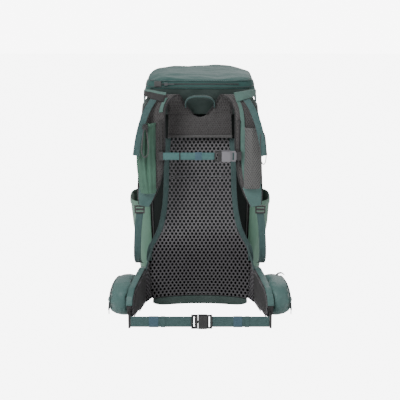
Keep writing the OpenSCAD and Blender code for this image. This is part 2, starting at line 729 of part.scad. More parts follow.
pocket_start = 26;
pocket_end = wing_len - 10;
pocket_low = 27;
pocket_high = 117;
module hip_pocket_solid() {
    mid = [(pocket_start + pocket_end) / 2, (pocket_low + pocket_high) / 2];
    half = [(pocket_end - pocket_start) / 2, (pocket_high - pocket_low) / 2];
    function ring(k, x) = [for (a = [0:15:345]) [x, -mid[0] - half[0] * k * pow(abs(cos(a)), 0.6) * sign(cos(a)),
        mid[1] + half[1] * k * pow(abs(sin(a)), 0.7) * sign(sin(a))]];
    outer = [ring(1, wing_t + 0.3), ring(1.02, wing_t + hip_pocket_d * 0.3), ring(0.96, wing_t + hip_pocket_d * 0.7),
        ring(0.9, wing_t + hip_pocket_d * 0.92), ring(0.8, wing_t + hip_pocket_d)];
    cols = len(outer[0]);
    points = [for (r = outer) for (p = r) p];
    faces = [
        [for (j = [0:cols - 1]) j],
        for (i = [0:len(outer) - 2]) for (j = [0:cols - 1]) let (a = i * cols + j, b = i * cols + (j + 1) % cols)
            each quad(a, a + cols, b + cols, b),
        [for (j = [cols - 1:-1:0]) (len(outer) - 1) * cols + j]
    ];
    polyhedron(points, faces, convexity = 4);
}
module hip_pocket_right() { color(teal) wing_frame(false) hip_pocket_solid(); }
module hip_pocket_left() { color(teal) wing_frame(true) hip_pocket_solid(); }

// The pocket's zip is an arc on its outer face; the slider turns about the arc's centre
zip_centre = [wing_len / 2 + 5, 42];
zip_r = 50;
module hip_slider_solid() {
    translate([wing_t + hip_pocket_d + play, -zip_centre[0] - zip_r, zip_centre[1]]) {
        translate([0, -4, -5]) cube([3, 8, 10]);
        translate([0.8, -2, -17]) cube([1.4, 4, 12.5]);
    }
}
module hip_zip_slider_right() { color("silver") wing_frame(false) hip_slider_solid(); }
module hip_zip_slider_left() { color("silver") wing_frame(true) hip_slider_solid(); }

module wing_ladder_lock() {
    translate([wing_end_x - 2, waist_y + 12, waist_z])
        slot_block([6, 22, waist_web_w + 8], [[[0, -5, 0], [10, 4.5, waist_web_w + 1]], [[0, 5, 0], [10, 4.5, waist_web_w + 1]]]);
}
module wing_ladder_lock_right() { color(near_black) wing_ladder_lock(); }
module wing_ladder_lock_left() { color(near_black) mirror([1, 0, 0]) wing_ladder_lock(); }

// ---- waist strap ----
waist_mouth_x = buckle_x + 4;
module waist_webbing_left() {
    from = -wing_end_x + 6;
    to = waist_mouth_x - play - tail_len - 0.3;
    color(teal) translate([from, waist_y - web_t / 2, waist_z - waist_web_w / 2]) cube([to - from, web_t, waist_web_w]);
}
module waist_webbing_right() {
    from = waist_mouth_x + prong_len + buckle_wall + play + tail_len - 4 + 0.3;
    to = wing_end_x - 6;
    color(teal) translate([from, waist_y - web_t / 2, waist_z - waist_web_w / 2]) cube([to - from, web_t, waist_web_w]);
}
module waist_buckle_plug() {
    color(near_black) translate([waist_mouth_x, waist_y, waist_z]) mirror([1, 0, 0]) plug_base(waist_web_w);
}
module waist_prong_upper() {
    color(near_black) translate([waist_mouth_x, waist_y, waist_z]) mirror([1, 0, 0]) plug_prong(waist_web_w, true);
}
module waist_prong_lower() {
    color(near_black) translate([waist_mouth_x, waist_y, waist_z]) mirror([1, 0, 0]) plug_prong(waist_web_w, false);
}
module waist_buckle_socket() {
    color(near_black) translate([waist_mouth_x, waist_y, waist_z]) mirror([1, 0, 0]) socket_shell(waist_web_w);
}

base_panel();
back_panel();
front_panel();
side_panel_left();
side_panel_right();
collar();
collar_drawcord();
collar_cord_lock();
collar_lock_button();
frame_hoop();
frame_cross_bars();
lumbar_shelf();
mesh_panel();
yoke();
lid_flap();
grab_handle();
side_pocket_left();
side_pocket_right();
front_pocket();
lid_buckle_sockets();
lid_shell();
lid_liner();
lid_zip_track();
lid_zip_slider();
lid_strap_left();
lid_strap_right();
shoulder_strap_left();
shoulder_strap_right();
sternum_rail_left();
sternum_rail_right();
flask_pocket();
flask_cord_lock();
flask_lock_button();
flask_cord();
strap_mesh_pocket();
load_lifter_left();
load_lifter_right();
strap_ladder_lock_left();
strap_ladder_lock_right();
lower_webbing_left();
lower_webbing_right();
sternum_slider_left();
sternum_slider_right();
sternum_webbing();
sternum_buckle_plug();
sternum_buckle_socket();
hip_wing_left();
hip_wing_right();
hip_pocket_left();
hip_pocket_right();
hip_zip_slider_left();
hip_zip_slider_right();
wing_ladder_lock_left();
wing_ladder_lock_right();
waist_webbing_left();
waist_webbing_right();
waist_buckle_plug();
waist_prong_upper();
waist_prong_lower();
waist_buckle_socket();
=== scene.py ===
import bpy
import bmesh
import math
from math import sin, cos, pi, radians
from mathutils import Vector, Matrix, noise


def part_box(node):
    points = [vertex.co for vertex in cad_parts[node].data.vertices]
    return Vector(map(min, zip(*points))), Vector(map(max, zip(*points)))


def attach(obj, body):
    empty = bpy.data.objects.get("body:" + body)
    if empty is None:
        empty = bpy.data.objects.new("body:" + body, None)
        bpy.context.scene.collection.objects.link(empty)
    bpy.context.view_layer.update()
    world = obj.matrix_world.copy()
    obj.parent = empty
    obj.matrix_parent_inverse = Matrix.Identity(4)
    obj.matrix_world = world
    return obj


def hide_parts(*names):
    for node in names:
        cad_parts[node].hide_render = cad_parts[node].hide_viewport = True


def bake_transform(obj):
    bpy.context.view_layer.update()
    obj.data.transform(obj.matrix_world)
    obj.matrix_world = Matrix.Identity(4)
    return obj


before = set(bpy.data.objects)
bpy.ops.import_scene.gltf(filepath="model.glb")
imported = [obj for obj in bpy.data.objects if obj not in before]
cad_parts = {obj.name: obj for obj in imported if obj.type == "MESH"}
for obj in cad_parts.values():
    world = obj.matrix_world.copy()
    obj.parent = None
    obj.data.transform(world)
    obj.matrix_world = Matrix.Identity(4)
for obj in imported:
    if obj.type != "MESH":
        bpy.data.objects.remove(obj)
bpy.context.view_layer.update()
print("frame loaded")


# camera: a long lens a little above the pack, facing the harness
cameraSetup = {"place": (0, -3.218, 1.084), "aim": (0, -0.113, 0.31), "lens": 103}


def addCamera():
    data = bpy.data.cameras.new("camera")
    data.lens = cameraSetup["lens"]
    cam = bpy.data.objects.new("camera", data)
    bpy.context.scene.collection.objects.link(cam)
    cam.location = cameraSetup["place"]
    toAim = Vector(cameraSetup["aim"]) - Vector(cameraSetup["place"])
    cam.rotation_euler = toAim.to_track_quat("-Z", "Y").to_euler()
    bpy.context.scene.camera = cam


addCamera()


def curvePoint(points, t):
    spans = len(points) - 1
    at = min(int(t * spans), spans - 1)
    f = t * spans - at
    p0, p1 = points[max(at - 1, 0)], points[at]
    p2, p3 = points[at + 1], points[min(at + 2, spans)]
    return 0.5 * (2 * p1 + (p2 - p0) * f + (2 * p0 - 5 * p1 + 4 * p2 - p3) * f * f
                  + (3 * p1 - p0 - 3 * p2 + p3) * f * f * f)


def curveLength(points):
    steps = [curvePoint(points, k / 40) for k in range(41)]
    return sum((b - a).length for a, b in zip(steps, steps[1:]))


# a socket that can be added, multiplied and so on, each time with its own Math node
class Wire:
    def __init__(self, finish, socket):
        self.finish = finish
        self.socket = socket

    def maths(self, operation, a, b=0.0):
        return self.finish.node("ShaderNodeMath", {"operation": operation}, {0: a, 1: b})

    def __add__(self, other):
        return self.maths("ADD", self, other)

    def __sub__(self, other):
        return self.maths("SUBTRACT", self, other)

    def __rsub__(self, other):
        return self.maths("SUBTRACT", other, self)

    def __mul__(self, other):
        return self.maths("MULTIPLY", self, other)

    def __gt__(self, other):
        return self.maths("GREATER_THAN", self, other)


# one material; node() adds any node from its type, its settings and its sockets' values or links
class Finish:
    def __init__(self, name):
        self.material = bpy.data.materials.new(name)
        self.material.use_nodes = True
        self.tree = self.material.node_tree
        self.tree.nodes.clear()

    def node(self, kind, settings=None, inputs=None, out=0):
        made = self.tree.nodes.new(kind)
        for key, value in (settings or {}).items():
            setattr(made, key, value)
        for key, value in (inputs or {}).items():
            socket = made.inputs[key]
            if isinstance(value, Wire):
                self.tree.links.new(value.socket, socket)
            else:
                socket.default_value = value
        return Wire(self, made.outputs[out]) if len(made.outputs) else None

    def place(self):
        return self.node("ShaderNodeTexCoord", out="Object")

    def cloth(self):
        return self.node("ShaderNodeTexCoord", out="UV")

    def split(self, vector):
        parts = self.node("ShaderNodeSeparateXYZ", inputs={0: vector}).socket.node
        return [Wire(self, parts.outputs[k]) for k in range(3)]

    def wave(self, value, pitch):
        turned = self.node("ShaderNodeMath", {"operation": "SINE"}, {0: value * (2 * pi / pitch)})
        return turned * 0.5 + 0.5

    def noise(self, vector, scale, detail=3.0, roughness=0.55):
        return self.node("ShaderNodeTexNoise", inputs={
            "Vector": vector, "Scale": scale, "Detail": detail, "Roughness": roughness})

    def blend(self, factor, a, b):
        made = self.tree.nodes.new("ShaderNodeMix")
        made.data_type = "RGBA"
        self.tree.links.new(factor.socket, made.inputs[0])
        for key, value in ((6, a), (7, b)):
            if isinstance(value, Wire):
                self.tree.links.new(value.socket, made.inputs[key])
            else:
                made.inputs[key].default_value = (*value, 1)
        return Wire(self, made.outputs[2])

    def bump(self, height, depth, strength=1.0, under=None):
        inputs = {"Height": height, "Distance": depth, "Strength": strength}
        if under is not None:
            inputs["Normal"] = under
        return self.node("ShaderNodeBump", inputs=inputs)

    def close(self, **sockets):
        names = {"color": "Base Color", "roughness": "Roughness", "metallic": "Metallic", "normal": "Normal",
                 "sheen": "Sheen Weight", "sheenRoughness": "Sheen Roughness",
                 "specular": "Specular IOR Level"}
        inputs = {}
        for key, value in sockets.items():
            if key == "color" and not isinstance(value, Wire):
                value = (*value, 1)
            inputs[names[key]] = value
        shader = self.node("ShaderNodeBsdfPrincipled", inputs=inputs)
        self.node("ShaderNodeOutputMaterial", inputs={0: shader})
        return self.material


def tone(red, green, blue):
    shares = [c / 255 for c in (red, green, blue)]
    return tuple(((s + 0.055) / 1.055) ** 2.4 if s > 10 / 255 else s / 12.92 for s in shares)


def mixTones(a, b, share):
    return tuple(x + (y - x) * share for x, y in zip(a, b))


# cloth and plastic colours of the whole pack
palette = {
    "teal": tone(36, 75, 73), "deepTeal": tone(22, 50, 48), "paleTeal": tone(50, 82, 77),
    "webTeal": tone(32, 75, 74), "handleTeal": tone(34, 74, 72), "leaf": tone(84, 124, 104),
    "flaskLeaf": tone(42, 68, 58), "baseGreen": tone(28, 52, 47), "meshGrey": tone(76, 73, 78),
    "padGrey": tone(36, 34, 34), "panelGrey": tone(28, 31, 31), "black": tone(9, 8, 9),
    "charcoal": tone(22, 21, 23), "whistle": tone(104, 102, 107), "elastic": tone(44, 84, 100),
    "steel": tone(104, 106, 108), "stretch": tone(78, 78, 77), "spacerGrey": tone(53, 50, 50),
    "beltPale": tone(88, 116, 112), "stripe": tone(62, 100, 91), "sternumTeal": tone(46, 98, 97),
}


def packCloth(name, color, pale=None, sheen=0.15, rough=0.72, weave=0.0011, crease=0.0012, ripstop=0.0):
    f = Finish(name)
    spot = f.place()
    x, y, z = f.split(spot)
    across = x + y * 0.83
    threads = f.wave(across, weave) * f.wave(z + y * 0.21, weave)
    patch = f.noise(spot, 14.0, 4.0)
    fine = f.noise(spot, 160.0, 2.0)
    colors = f.blend(patch, mixTones(color, (0, 0, 0), 0.16), pale or mixTones(color, (1, 1, 1), 0.06))
    shade = f.blend(threads * 0.35 + fine * 0.15, colors, mixTones(color, (0, 0, 0), 0.30))
    height = threads * 0.12
    if ripstop:
        grid = (f.wave(across, ripstop) > 0.97) + (f.wave(z + y * 0.21, ripstop) > 0.97)
        height = height + grid * 0.5
    weaveBump = f.bump(height, 0.0004, 0.5)
    folds = f.noise(spot, 22.0, 5.0, 0.6)
    normal = f.bump(folds, crease * 4, 0.6, weaveBump)
    return f.close(color=shade, roughness=patch * 0.14 + (rough - 0.07), normal=normal, sheen=sheen,
                   sheenRoughness=0.4, specular=0.35)


def webbingFinish(name, color, rib=0.0021, sheen=0.2):
    f = Finish(name)
    across, along, _ = f.split(f.cloth())
    ribs = f.wave(along + f.wave(across, 0.0052) * 0.0007, rib)
    warp = f.wave(across, 0.0014)
    grain = f.noise(f.place(), 90.0, 3.0)
    dark, pale = mixTones(color, (0, 0, 0), 0.32), mixTones(color, (1, 1, 1), 0.08)
    colors = f.blend(ribs * 0.45 + grain * 0.4, dark, pale)
    normal = f.bump(ribs * 0.7 + warp * 0.4, 0.0006, 0.8)
    return f.close(color=colors, roughness=0.68, normal=normal, sheen=sheen, sheenRoughness=0.35,
                   specular=0.1 + sheen)


def netFinish(name, color, shaded=0.0):
    f = Finish(name)
    spot = f.place()
    height = f.split(spot)[2]
    grain = f.noise(spot, 420.0, 3.0)
    patch = f.noise(spot, 9.0, 2.0)
    dark, pale = mixTones(color, (0, 0, 0), 0.45), mixTones(color, (1, 1, 1), 0.12)
    colors = f.blend(grain * 0.6 + patch * 0.4, dark, pale)
    # painted shade: the net's colour darkens from a height of 0.24 down to 0.15 and stays dark below
    if shaded:
        low = f.node("ShaderNodeMapRange", {"interpolation_type": "SMOOTHSTEP"},
                     {"Value": height, "From Min": 0.24, "From Max": 0.15})
        colors = f.blend(low * shaded, colors, mixTones(color, (0, 0, 0), 0.8))
    normal = f.bump(grain, 0.0008, 0.8)
    return f.close(color=colors, roughness=0.85, normal=normal, sheen=0.15, specular=0.2)


# spacer fabric: small diamond cells pressed into the cloth, painted near-black inside as painted shade in
# their hollows
def spacerFinish(name, color, cell=0.0052, depth=0.0016):
    f = Finish(name)
    spot = f.place()
    x, y, z = f.split(spot)
    along = z + y * 0.7
    cells = f.wave(x + along * 0.62, cell) * f.wave(x - along * 0.62, cell)
    holes = f.node("ShaderNodeMapRange", {"interpolation_type": "SMOOTHSTEP"},
                   {"Value": cells, "From Min": 0.22, "From Max": 0.62})
    grain = f.noise(spot, 260.0, 3.0)
    # painted shade: the cells' hollows are darkened almost to black
    colors = f.blend(holes, color, mixTones(color, (0, 0, 0), 0.9))
    worn = f.blend(grain * 0.35, colors, mixTones(color, (1, 1, 1), 0.15))
    normal = f.bump(1.0 - holes, depth, 0.9)
    return f.close(color=worn, roughness=0.86, normal=normal, sheen=0.15, specular=0.2)


# cloth in deep shade behind the net
def shadeFinish(name, color):
    f = Finish(name)
    grain = f.noise(f.place(), 300.0, 2.0)
    colors = f.blend(grain, mixTones(color, (0, 0, 0), 0.5), color)
    return f.close(color=colors, roughness=1.0, normal=f.bump(grain, 0.0004, 0.5), specular=0.0)


def plasticFinish(name, color, rough=0.42):
    f = Finish(name)
    spot = f.place()
    grain = f.noise(spot, 700.0, 2.0)
    wear = f.noise(spot, 60.0, 4.0)
    colors = f.blend(wear, color, mixTones(color, (1, 1, 1), 0.05))
    normal = f.bump(grain, 0.0003, 0.4)
    return f.close(color=colors, roughness=wear * 0.18 + (rough - 0.09), normal=normal, specular=0.35)


def metalFinish(name, color, rough=0.32):
    f = Finish(name)
    spot = f.place()
    brushed = f.noise(spot, 300.0, 4.0)
    normal = f.bump(brushed, 0.0002, 0.3)
    return f.close(color=color, metallic=1.0, roughness=brushed * 0.16 + (rough - 0.08), normal=normal)


def cordFinish(name, color):
    f = Finish(name)
    around, along, _ = f.split(f.cloth())
    braid = f.wave(along + around * 0.004, 0.0016) * f.wave(along - around * 0.004, 0.0016)
    colors = f.blend(braid, color, mixTones(color, (1, 1, 1), 0.14))
    normal = f.bump(braid, 0.0004, 0.8)
    return f.close(color=colors, roughness=0.7, normal=normal, sheen=0.2)


finishes = {
    "lidCloth": packCloth("lidCloth", palette["teal"], palette["paleTeal"], sheen=0.08, rough=0.7,
                          ripstop=0.0052),
    "lidSide": packCloth("lidSide", palette["deepTeal"], rough=0.7),
    "frontCloth": packCloth("frontCloth", palette["teal"], rough=0.66, ripstop=0.0052),
    "darkCloth": packCloth("darkCloth", palette["baseGreen"], rough=0.78),
    "greyCloth": packCloth("greyCloth", palette["panelGrey"], rough=0.75),
    "leafCloth": packCloth("leafCloth", palette["leaf"], sheen=0.2, rough=0.62, weave=0.0009),
    "flaskCloth": packCloth("flaskCloth", palette["flaskLeaf"], palette["leaf"], sheen=0.15, weave=0.0009),
    "beltCloth": packCloth("beltCloth", palette["teal"], palette["beltPale"], sheen=0.3, rough=0.5,
                           ripstop=0.0052),
    "webbing": webbingFinish("webbing", palette["webTeal"]),
    "handleWeb": webbingFinish("handleWeb", palette["handleTeal"]),
    "paleWebbing": webbingFinish("paleWebbing", palette["stripe"]),
    "leafHem": webbingFinish("leafHem", palette["leaf"]),
    "blackWebbing": webbingFinish("blackWebbing", palette["black"], sheen=0.03),
    "sternumWebbing": webbingFinish("sternumWebbing", palette["sternumTeal"]),
    "elastic": webbingFinish("elastic", palette["elastic"], rib=0.0012),
    "binding": webbingFinish("binding", mixTones(palette["webTeal"], palette["deepTeal"], 0.4), rib=0.0012),
    "greyBinding": webbingFinish("greyBinding", palette["charcoal"], rib=0.0012, sheen=0.05),
    "darkBinding": webbingFinish("darkBinding", palette["panelGrey"], rib=0.0012),
    # 0.45 sets how strongly painted shade darkens the net's foot
    "net": netFinish("net", palette["meshGrey"], 0.45),
    # netBacking: real cloth behind the net, coloured near-black as painted shade seen through the net's holes
    "netBacking": shadeFinish("netBacking", tone(6, 6, 7)),
    "backCloth": shadeFinish("backCloth", tone(40, 44, 43)),
    "spacer": spacerFinish("spacer", palette["spacerGrey"], cell=0.0066),
    "spacerPale": netFinish("spacerPale", palette["padGrey"]),
    "wingCloth": packCloth("wingCloth", palette["charcoal"], rough=0.85, sheen=0.03),
    "stretchMesh": spacerFinish("stretchMesh", palette["stretch"], cell=0.0060, depth=0.0006),
    "plastic": plasticFinish("plastic", palette["black"]),
    "greyPlastic": plasticFinish("greyPlastic", palette["charcoal"], 0.5),
    "whistlePlastic": plasticFinish("whistlePlastic", palette["whistle"], 0.45),
    "railPlastic": plasticFinish("railPlastic", palette["black"], 0.5),
    "steel": metalFinish("steel", palette["steel"]),
    "tube": metalFinish("tube", tone(120, 122, 124), 0.4),
    "cord": cordFinish("cord", palette["black"]),
}
print("finishes made")


def roundEdges(made, width):
    edge = made.modifiers.new("edge", "BEVEL")
    edge.width = width
    edge.segments = 2
    edge.limit_method = "ANGLE"
    edge.angle_limit = radians(40)


def finishObject(name, bm, finish, smooth=True, subdivide=0, solid=0.0, bevel=0.0):
    mesh = bpy.data.meshes.new(name)
    bm.to_mesh(mesh)
    bm.free()
    made = bpy.data.objects.new(name, mesh)
    bpy.context.scene.collection.objects.link(made)
    mesh.materials.append(finishes[finish])
    if smooth:
        mesh.shade_smooth()
    if solid:
        wall = made.modifiers.new("wall", "SOLIDIFY")
        wall.thickness = solid
        wall.offset = 0
    if bevel:
        roundEdges(made, bevel)
    if subdivide:
        finer = made.modifiers.new("finer", "SUBSURF")
        finer.levels = subdivide
        finer.render_levels = subdivide
    return made


# a grid whose points are put where place(u, v) says; u runs across, v along, both from 0 to 1
def patch(across, along, place, weld=False, caps=False, size=(1.0, 1.0)):
    bm = bmesh.new()
    layer = bm.loops.layers.uv.new("UVMap")
    bmesh.ops.create_grid(bm, x_segments=across, y_segments=along, size=0.5, calc_uvs=True)
    for v in bm.verts:
        v.co = Vector(place(v.co.x + 0.5, v.co.y + 0.5))
    for f in bm.faces:
        for loop in f.loops:
            loop[layer].uv = (loop[layer].uv.x * size[0], loop[layer].uv.y * size[1])
    if weld:
        bmesh.ops.remove_doubles(bm, verts=bm.verts[:], dist=1e-6)
    if caps:
        bmesh.ops.holes_fill(bm, edges=[e for e in bm.edges if e.is_boundary], sides=0)
    if weld and caps:
        bmesh.ops.recalc_face_normals(bm, faces=bm.faces[:])
    return bm


def newVerts(extruded):
    return [g for g in extruded["geom"] if isinstance(g, bmesh.types.BMVert)]


def mirrored(bm):
    bmesh.ops.scale(bm, vec=(-1, 1, 1), verts=bm.verts[:])
    bmesh.ops.reverse_faces(bm, faces=bm.faces[:])
    return bm


sides = ((1, "right"), (-1, "left"))    # shapes are drawn for the right and mirrored for the left


def onSide(side, bm):
    return bm if side > 0 else mirrored(bm)


def table(value, rows):
    for (a, p), (b, q) in zip(rows, rows[1:]):
        if value <= b:
            return p + (q - p) * max(0.0, value - a) / (b - a)
    return rows[-1][1]


# a closed strip between two edge lines, rounded like a pad or flat like webbing
def stripMesh(edgeA, edgeB, thick, along=40, around=16, square=4.0):
    edgeA = [Vector(p) for p in edgeA]
    edgeB = [Vector(p) for p in edgeB]
    length = curveLength([(a + b) / 2 for a, b in zip(edgeA, edgeB)])
    width = (edgeA[0] - edgeB[0]).length

    def place(u, v):
        a, b = curvePoint(edgeA, v), curvePoint(edgeB, v)
        near, far = max(v - 0.01, 0), min(v + 0.01, 1)
        way = (curvePoint(edgeA, far) + curvePoint(edgeB, far)
               - curvePoint(edgeA, near) - curvePoint(edgeB, near))
        side = b - a
        up = way.cross(side).normalized()
        turn = u * 2 * pi
        c, s = cos(turn), sin(turn)
        flat = math.copysign(abs(c) ** (2 / square), c)
        high = math.copysign(abs(s) ** (2 / square), s)
        return (a + b) / 2 + side * 0.5 * flat + up * (thick / 2 * high)

    return patch(around, along, place, weld=True, caps=True, size=(2 * width, length))


def webbingMesh(path, across, width, thick=0.0018, along=24):
    across = Vector(across).normalized() * width / 2
    path = [Vector(p) for p in path]
    return stripMesh([p - across for p in path], [p + across for p in path], thick, along, around=12,
                     square=6.0)


def tubeMesh(path, radius, sides=10, along=60):
    path = [Vector(p) for p in path]
    length = curveLength(path)

    def place(u, v):
        near, far = max(v - 0.01, 0), min(v + 0.01, 1)
        way = (curvePoint(path, far) - curvePoint(path, near)).normalized()
        ref = Vector((0, 1, 0)) if abs(way.y) < 0.9 else Vector((1, 0, 0))
        one = way.cross(ref).normalized()
        two = way.cross(one)
        return curvePoint(path, v) + (one * cos(u * 2 * pi) + two * sin(u * 2 * pi)) * radius

    return patch(sides, along, place, weld=True, caps=True, size=(2 * pi * radius, length))


def boxMesh(low, high, bevel=0.0):
    bm = bmesh.new()
    bmesh.ops.create_cube(bm, size=1)
    low, high = Vector(low), Vector(high)
    bmesh.ops.scale(bm, vec=high - low, verts=bm.verts[:])
    bmesh.ops.translate(bm, vec=(low + high) / 2, verts=bm.verts[:])
    if bevel:
        bmesh.ops.bevel(bm, geom=bm.edges[:], offset=bevel, segments=2, profile=0.5,
                        affect="EDGES", material=-1)
    return bm


def joinMeshes(*meshes):
    whole = meshes[0]
    for extra in meshes[1:]:
        mesh = bpy.data.meshes.new("part")
        extra.to_mesh(mesh)
        extra.free()
        whole.from_mesh(mesh)
        bpy.data.meshes.remove(mesh)
    return whole


def piece(name, bm, finish, body, node=None, slot=None, **extra):
    made = finishObject(name, bm, finish, **extra)
    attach(made, body)
    if node:
        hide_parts(*([node] if isinstance(node, str) else node))
    return made


# pressure inside a cloth copy swells a pad; cap is how far a point may move
def inflate(made, voxel=0.005, pressure=4.0, cap=0.008, pinned=None):
    remesh = made.modifiers.new("voxels", "REMESH")
    remesh.mode = "VOXEL"
    remesh.voxel_size = voxel
    bakeModifiers(made)
    start = [v.co.copy() for v in made.data.vertices]
    cloth = made.modifiers.new("cloth", "CLOTH")
    cloth.settings.use_pressure = True
    cloth.settings.uniform_pressure_force = pressure
    cloth.settings.effector_weights.gravity = 0
    cloth.settings.tension_stiffness = 25
    cloth.settings.compression_stiffness = 25
    cloth.settings.bending_stiffness = 2
    scene = bpy.context.scene
    for step in range(1, 21):
        scene.frame_set(step)
    bakeModifiers(made)
    for v, was in zip(made.data.vertices, start):
        moved = v.co - was
        limit = cap * (pinned(was) if pinned else 1.0)
        if moved.length > limit:
            v.co = was + moved.normalized() * limit
    scene.frame_set(1)
    made.data.shade_smooth()
    return made


def bakeModifiers(made):
    graph = bpy.context.evaluated_depsgraph_get()
    mesh = bpy.data.meshes.new_from_object(made.evaluated_get(graph))
    made.modifiers.clear()
    old = made.data
    made.data = mesh
    bpy.data.meshes.remove(old)


# the flask pocket's hanging loop of elastic cord
flaskCord = {
    "start": (-0.145, -0.24167, 0.535), "diameter": 0.003,
    "steps": [(-4, 0, 0), (-4, 0, -5), (-5, 0, -12), (-6, 1, -22), (-8, 1, -34), (-9, 1, -46), (-10, 1, -57),
              (-9, 1, -66), (-6, 1, -73), (-1, 1, -76), (4, 1, -73), (7, 1, -66), (8, 1, -57), (8, 1, -46),
              (7, 1, -34), (6, 1, -22), (5, 0, -12), (4, 0, -5), (4, 0, 0)],
}


def hangCord():
    route = [Vector(flaskCord["start"]) + Vector(step) / 1000 for step in flaskCord["steps"]]
    path = [curvePoint(route, k / 108) for k in range(109)]
    made = piece("flask_cord_loop", tubeMesh(route, flaskCord["diameter"] / 2, sides=12, along=216), "cord",
                 "strap_left", "flask_cord", "cord")
    sum((b - a).length for a, b in zip(path, path[1:]))


hangCord()


# bag: the same outline as the frame's bag, with cloth that sags and creases
bagShape = {
    "halfWidth": 0.172, "frontY": 0.150, "seamZ": 0.560, "baseThick": 0.005, "power": 3.2,
    "meshY": -0.106, "yokeY": -0.118, "creaseDepth": 0.0035,
    # by height: share of the half width, depth of the back, and how far the front draws in
    "widths": [(0, 0.82), (0.06, 0.91), (0.25, 0.965), (0.48, 1.0), (0.56, 0.96)],
    "backs": [(0, -0.070), (0.47, -0.070), (0.52, -0.078), (0.56, -0.094)],
    "fronts": [(0, -0.045), (0.06, -0.022), (0.28, 0), (0.49, 0), (0.56, -0.014)],
}


def curl(value, power):
    return math.copysign(abs(value) ** (2 / power), value) if abs(value) > 1e-9 else 0.0


def bagPoint(a, z, off=0.0):
    half = bagShape["halfWidth"] * table(z, bagShape["widths"])
    back = table(z, bagShape["backs"])
    front = bagShape["frontY"] + table(z, bagShape["fronts"])
    return Vector(((half + off) * curl(cos(a), bagShape["power"]),
                   (front + back) / 2 + ((front - back) / 2 + off) * curl(sin(a), bagShape["power"]), z))


def creased(point, seed, depth, stretch=(1, 1, 0.45)):
    at = Vector((point.x * 18 * stretch[0], point.y * 18 * stretch[1], point.z * 18 * stretch[2] + seed))
    ridge = 1 - abs(noise.noise(at)) * 2
    return depth * (0.6 * ridge + 0.4 * noise.noise(at * 2.3)) - depth * 0.3


def bagPanel(name, start, end, finish, node, slot, seed, low=0.005, high=0.560):
    def place(u, v):
        a = radians(start + (end - start) * u)
        z = low + (high - low) * v
        edge = min(1, 6 * min(u, 1 - u), 6 * min(v, 1 - v))    # no creases along the seams
        return bagPoint(a, z, -0.0015 + creased(bagPoint(a, z), seed, bagShape["creaseDepth"]) * edge)
    bm = patch(36, 60, place, size=(0.3, 0.55))
    return piece(name, bm, finish, "pack", node, slot, solid=0.002, subdivide=1)


bagPanel("front_panel_cloth", 45, 135, "frontCloth", "front_panel", "shell_cloth", 2)
bagPanel("left_panel_cloth", 135, 225, "greyCloth", "side_panel_left", "grey_cloth", 5)
bagPanel("right_panel_cloth", -45, 45, "greyCloth", "side_panel_right", "grey_cloth", 9)
bagPanel("back_panel_cloth", 225, 315, "backCloth", "back_panel", "grey_cloth", 13)


def bagBase():
    bm = bmesh.new()
    bmesh.ops.create_circle(bm, cap_ends=True, cap_tris=False, segments=96, radius=1)
    for v in bm.verts:
        a = math.atan2(v.co.y, v.co.x)
        v.co = bagPoint(a, 0.003)
        v.co.z = 0.0
    up = bmesh.ops.extrude_face_region(bm, geom=bm.faces[:])
    bmesh.ops.translate(bm, vec=(0, 0, bagShape["baseThick"]), verts=newVerts(up))
    bmesh.ops.recalc_face_normals(bm, faces=bm.faces[:])
    return piece("base_cloth", bm, "darkCloth", "pack", "base_panel", "dark_cloth", smooth=False,
                 bevel=0.0015)


bagBase()


# piping along the seams between the bag's panels
def seamPiping(name, a, low, high, radius=0.0016, off=0.0012):
    path = [bagPoint(radians(a), low + (high - low) * k / 12, off) for k in range(13)]
    return piece(name, tubeMesh(path, radius, sides=8, along=48), "darkBinding", "pack", slot="grey_cloth")


for label, angle in (("front_left", 135), ("front_right", 45), ("rear_left", 225), ("rear_right", 315)):
    seamPiping("seam_" + label, angle, 0.008, 0.558)


# the collar gathers into pleats towards its drawcord
collar = {"mouth": 0.045, "mouthZ": 0.606, "pleats": 26, "pleatDepth": 0.0045, "cord": 0.0016}
mouthY = (0.136 - 0.094) / 2    # halfway between the bag's front and back at its top seam


def collarPlace(u, v):
    a = u * 2 * pi
    edge = bagPoint(a, bagShape["seamZ"], -0.0015)
    rim = Vector((collar["mouth"] * cos(a), mouthY + collar["mouth"] * sin(a), collar["mouthZ"]))
    pull = v ** 1.3
    out = Vector((cos(a), sin(a), 0))
    ripple = sin(a * collar["pleats"] + 0.6 * sin(3 * a))
    fold = ripple * collar["pleatDepth"] * sin(pi * min(v * 1.15, 1)) * 0.8
    at = edge + (rim - edge) * pull
    at.z = bagShape["seamZ"] + (collar["mouthZ"] - bagShape["seamZ"]) * v ** 0.8 + fold * 0.7
    return at - out * 0.001 + out * fold * 0.3


piece("collar_cloth", patch(208, 20, collarPlace, weld=True), "darkCloth", "pack", "collar", "dark_cloth",
      solid=0.0012)


def collarCord():
    bm = bmesh.new()
    bmesh.ops.create_circle(bm, cap_ends=False, segments=12, radius=collar["cord"])
    bmesh.ops.rotate(bm, cent=(0, 0, 0), matrix=Matrix.Rotation(pi / 2, 3, "X"), verts=bm.verts[:])
    bmesh.ops.translate(bm, vec=(collar["mouth"] - 0.0015, 0, 0), verts=bm.verts[:])
    bmesh.ops.spin(bm, geom=bm.verts[:] + bm.edges[:], cent=(0, 0, 0), axis=(0, 0, 1), dvec=(0, 0, 0),
                   angle=2 * pi, steps=72, use_merge=True, use_duplicate=False)
    bmesh.ops.remove_doubles(bm, verts=bm.verts[:], dist=1e-5)
    bmesh.ops.translate(bm, vec=(0, mouthY, 0.6078), verts=bm.verts[:])
    bmesh.ops.recalc_face_normals(bm, faces=bm.faces[:])
    return bm


piece("collar_cord_ring", collarCord(), "cord", "pack", "collar_drawcord", "cord")


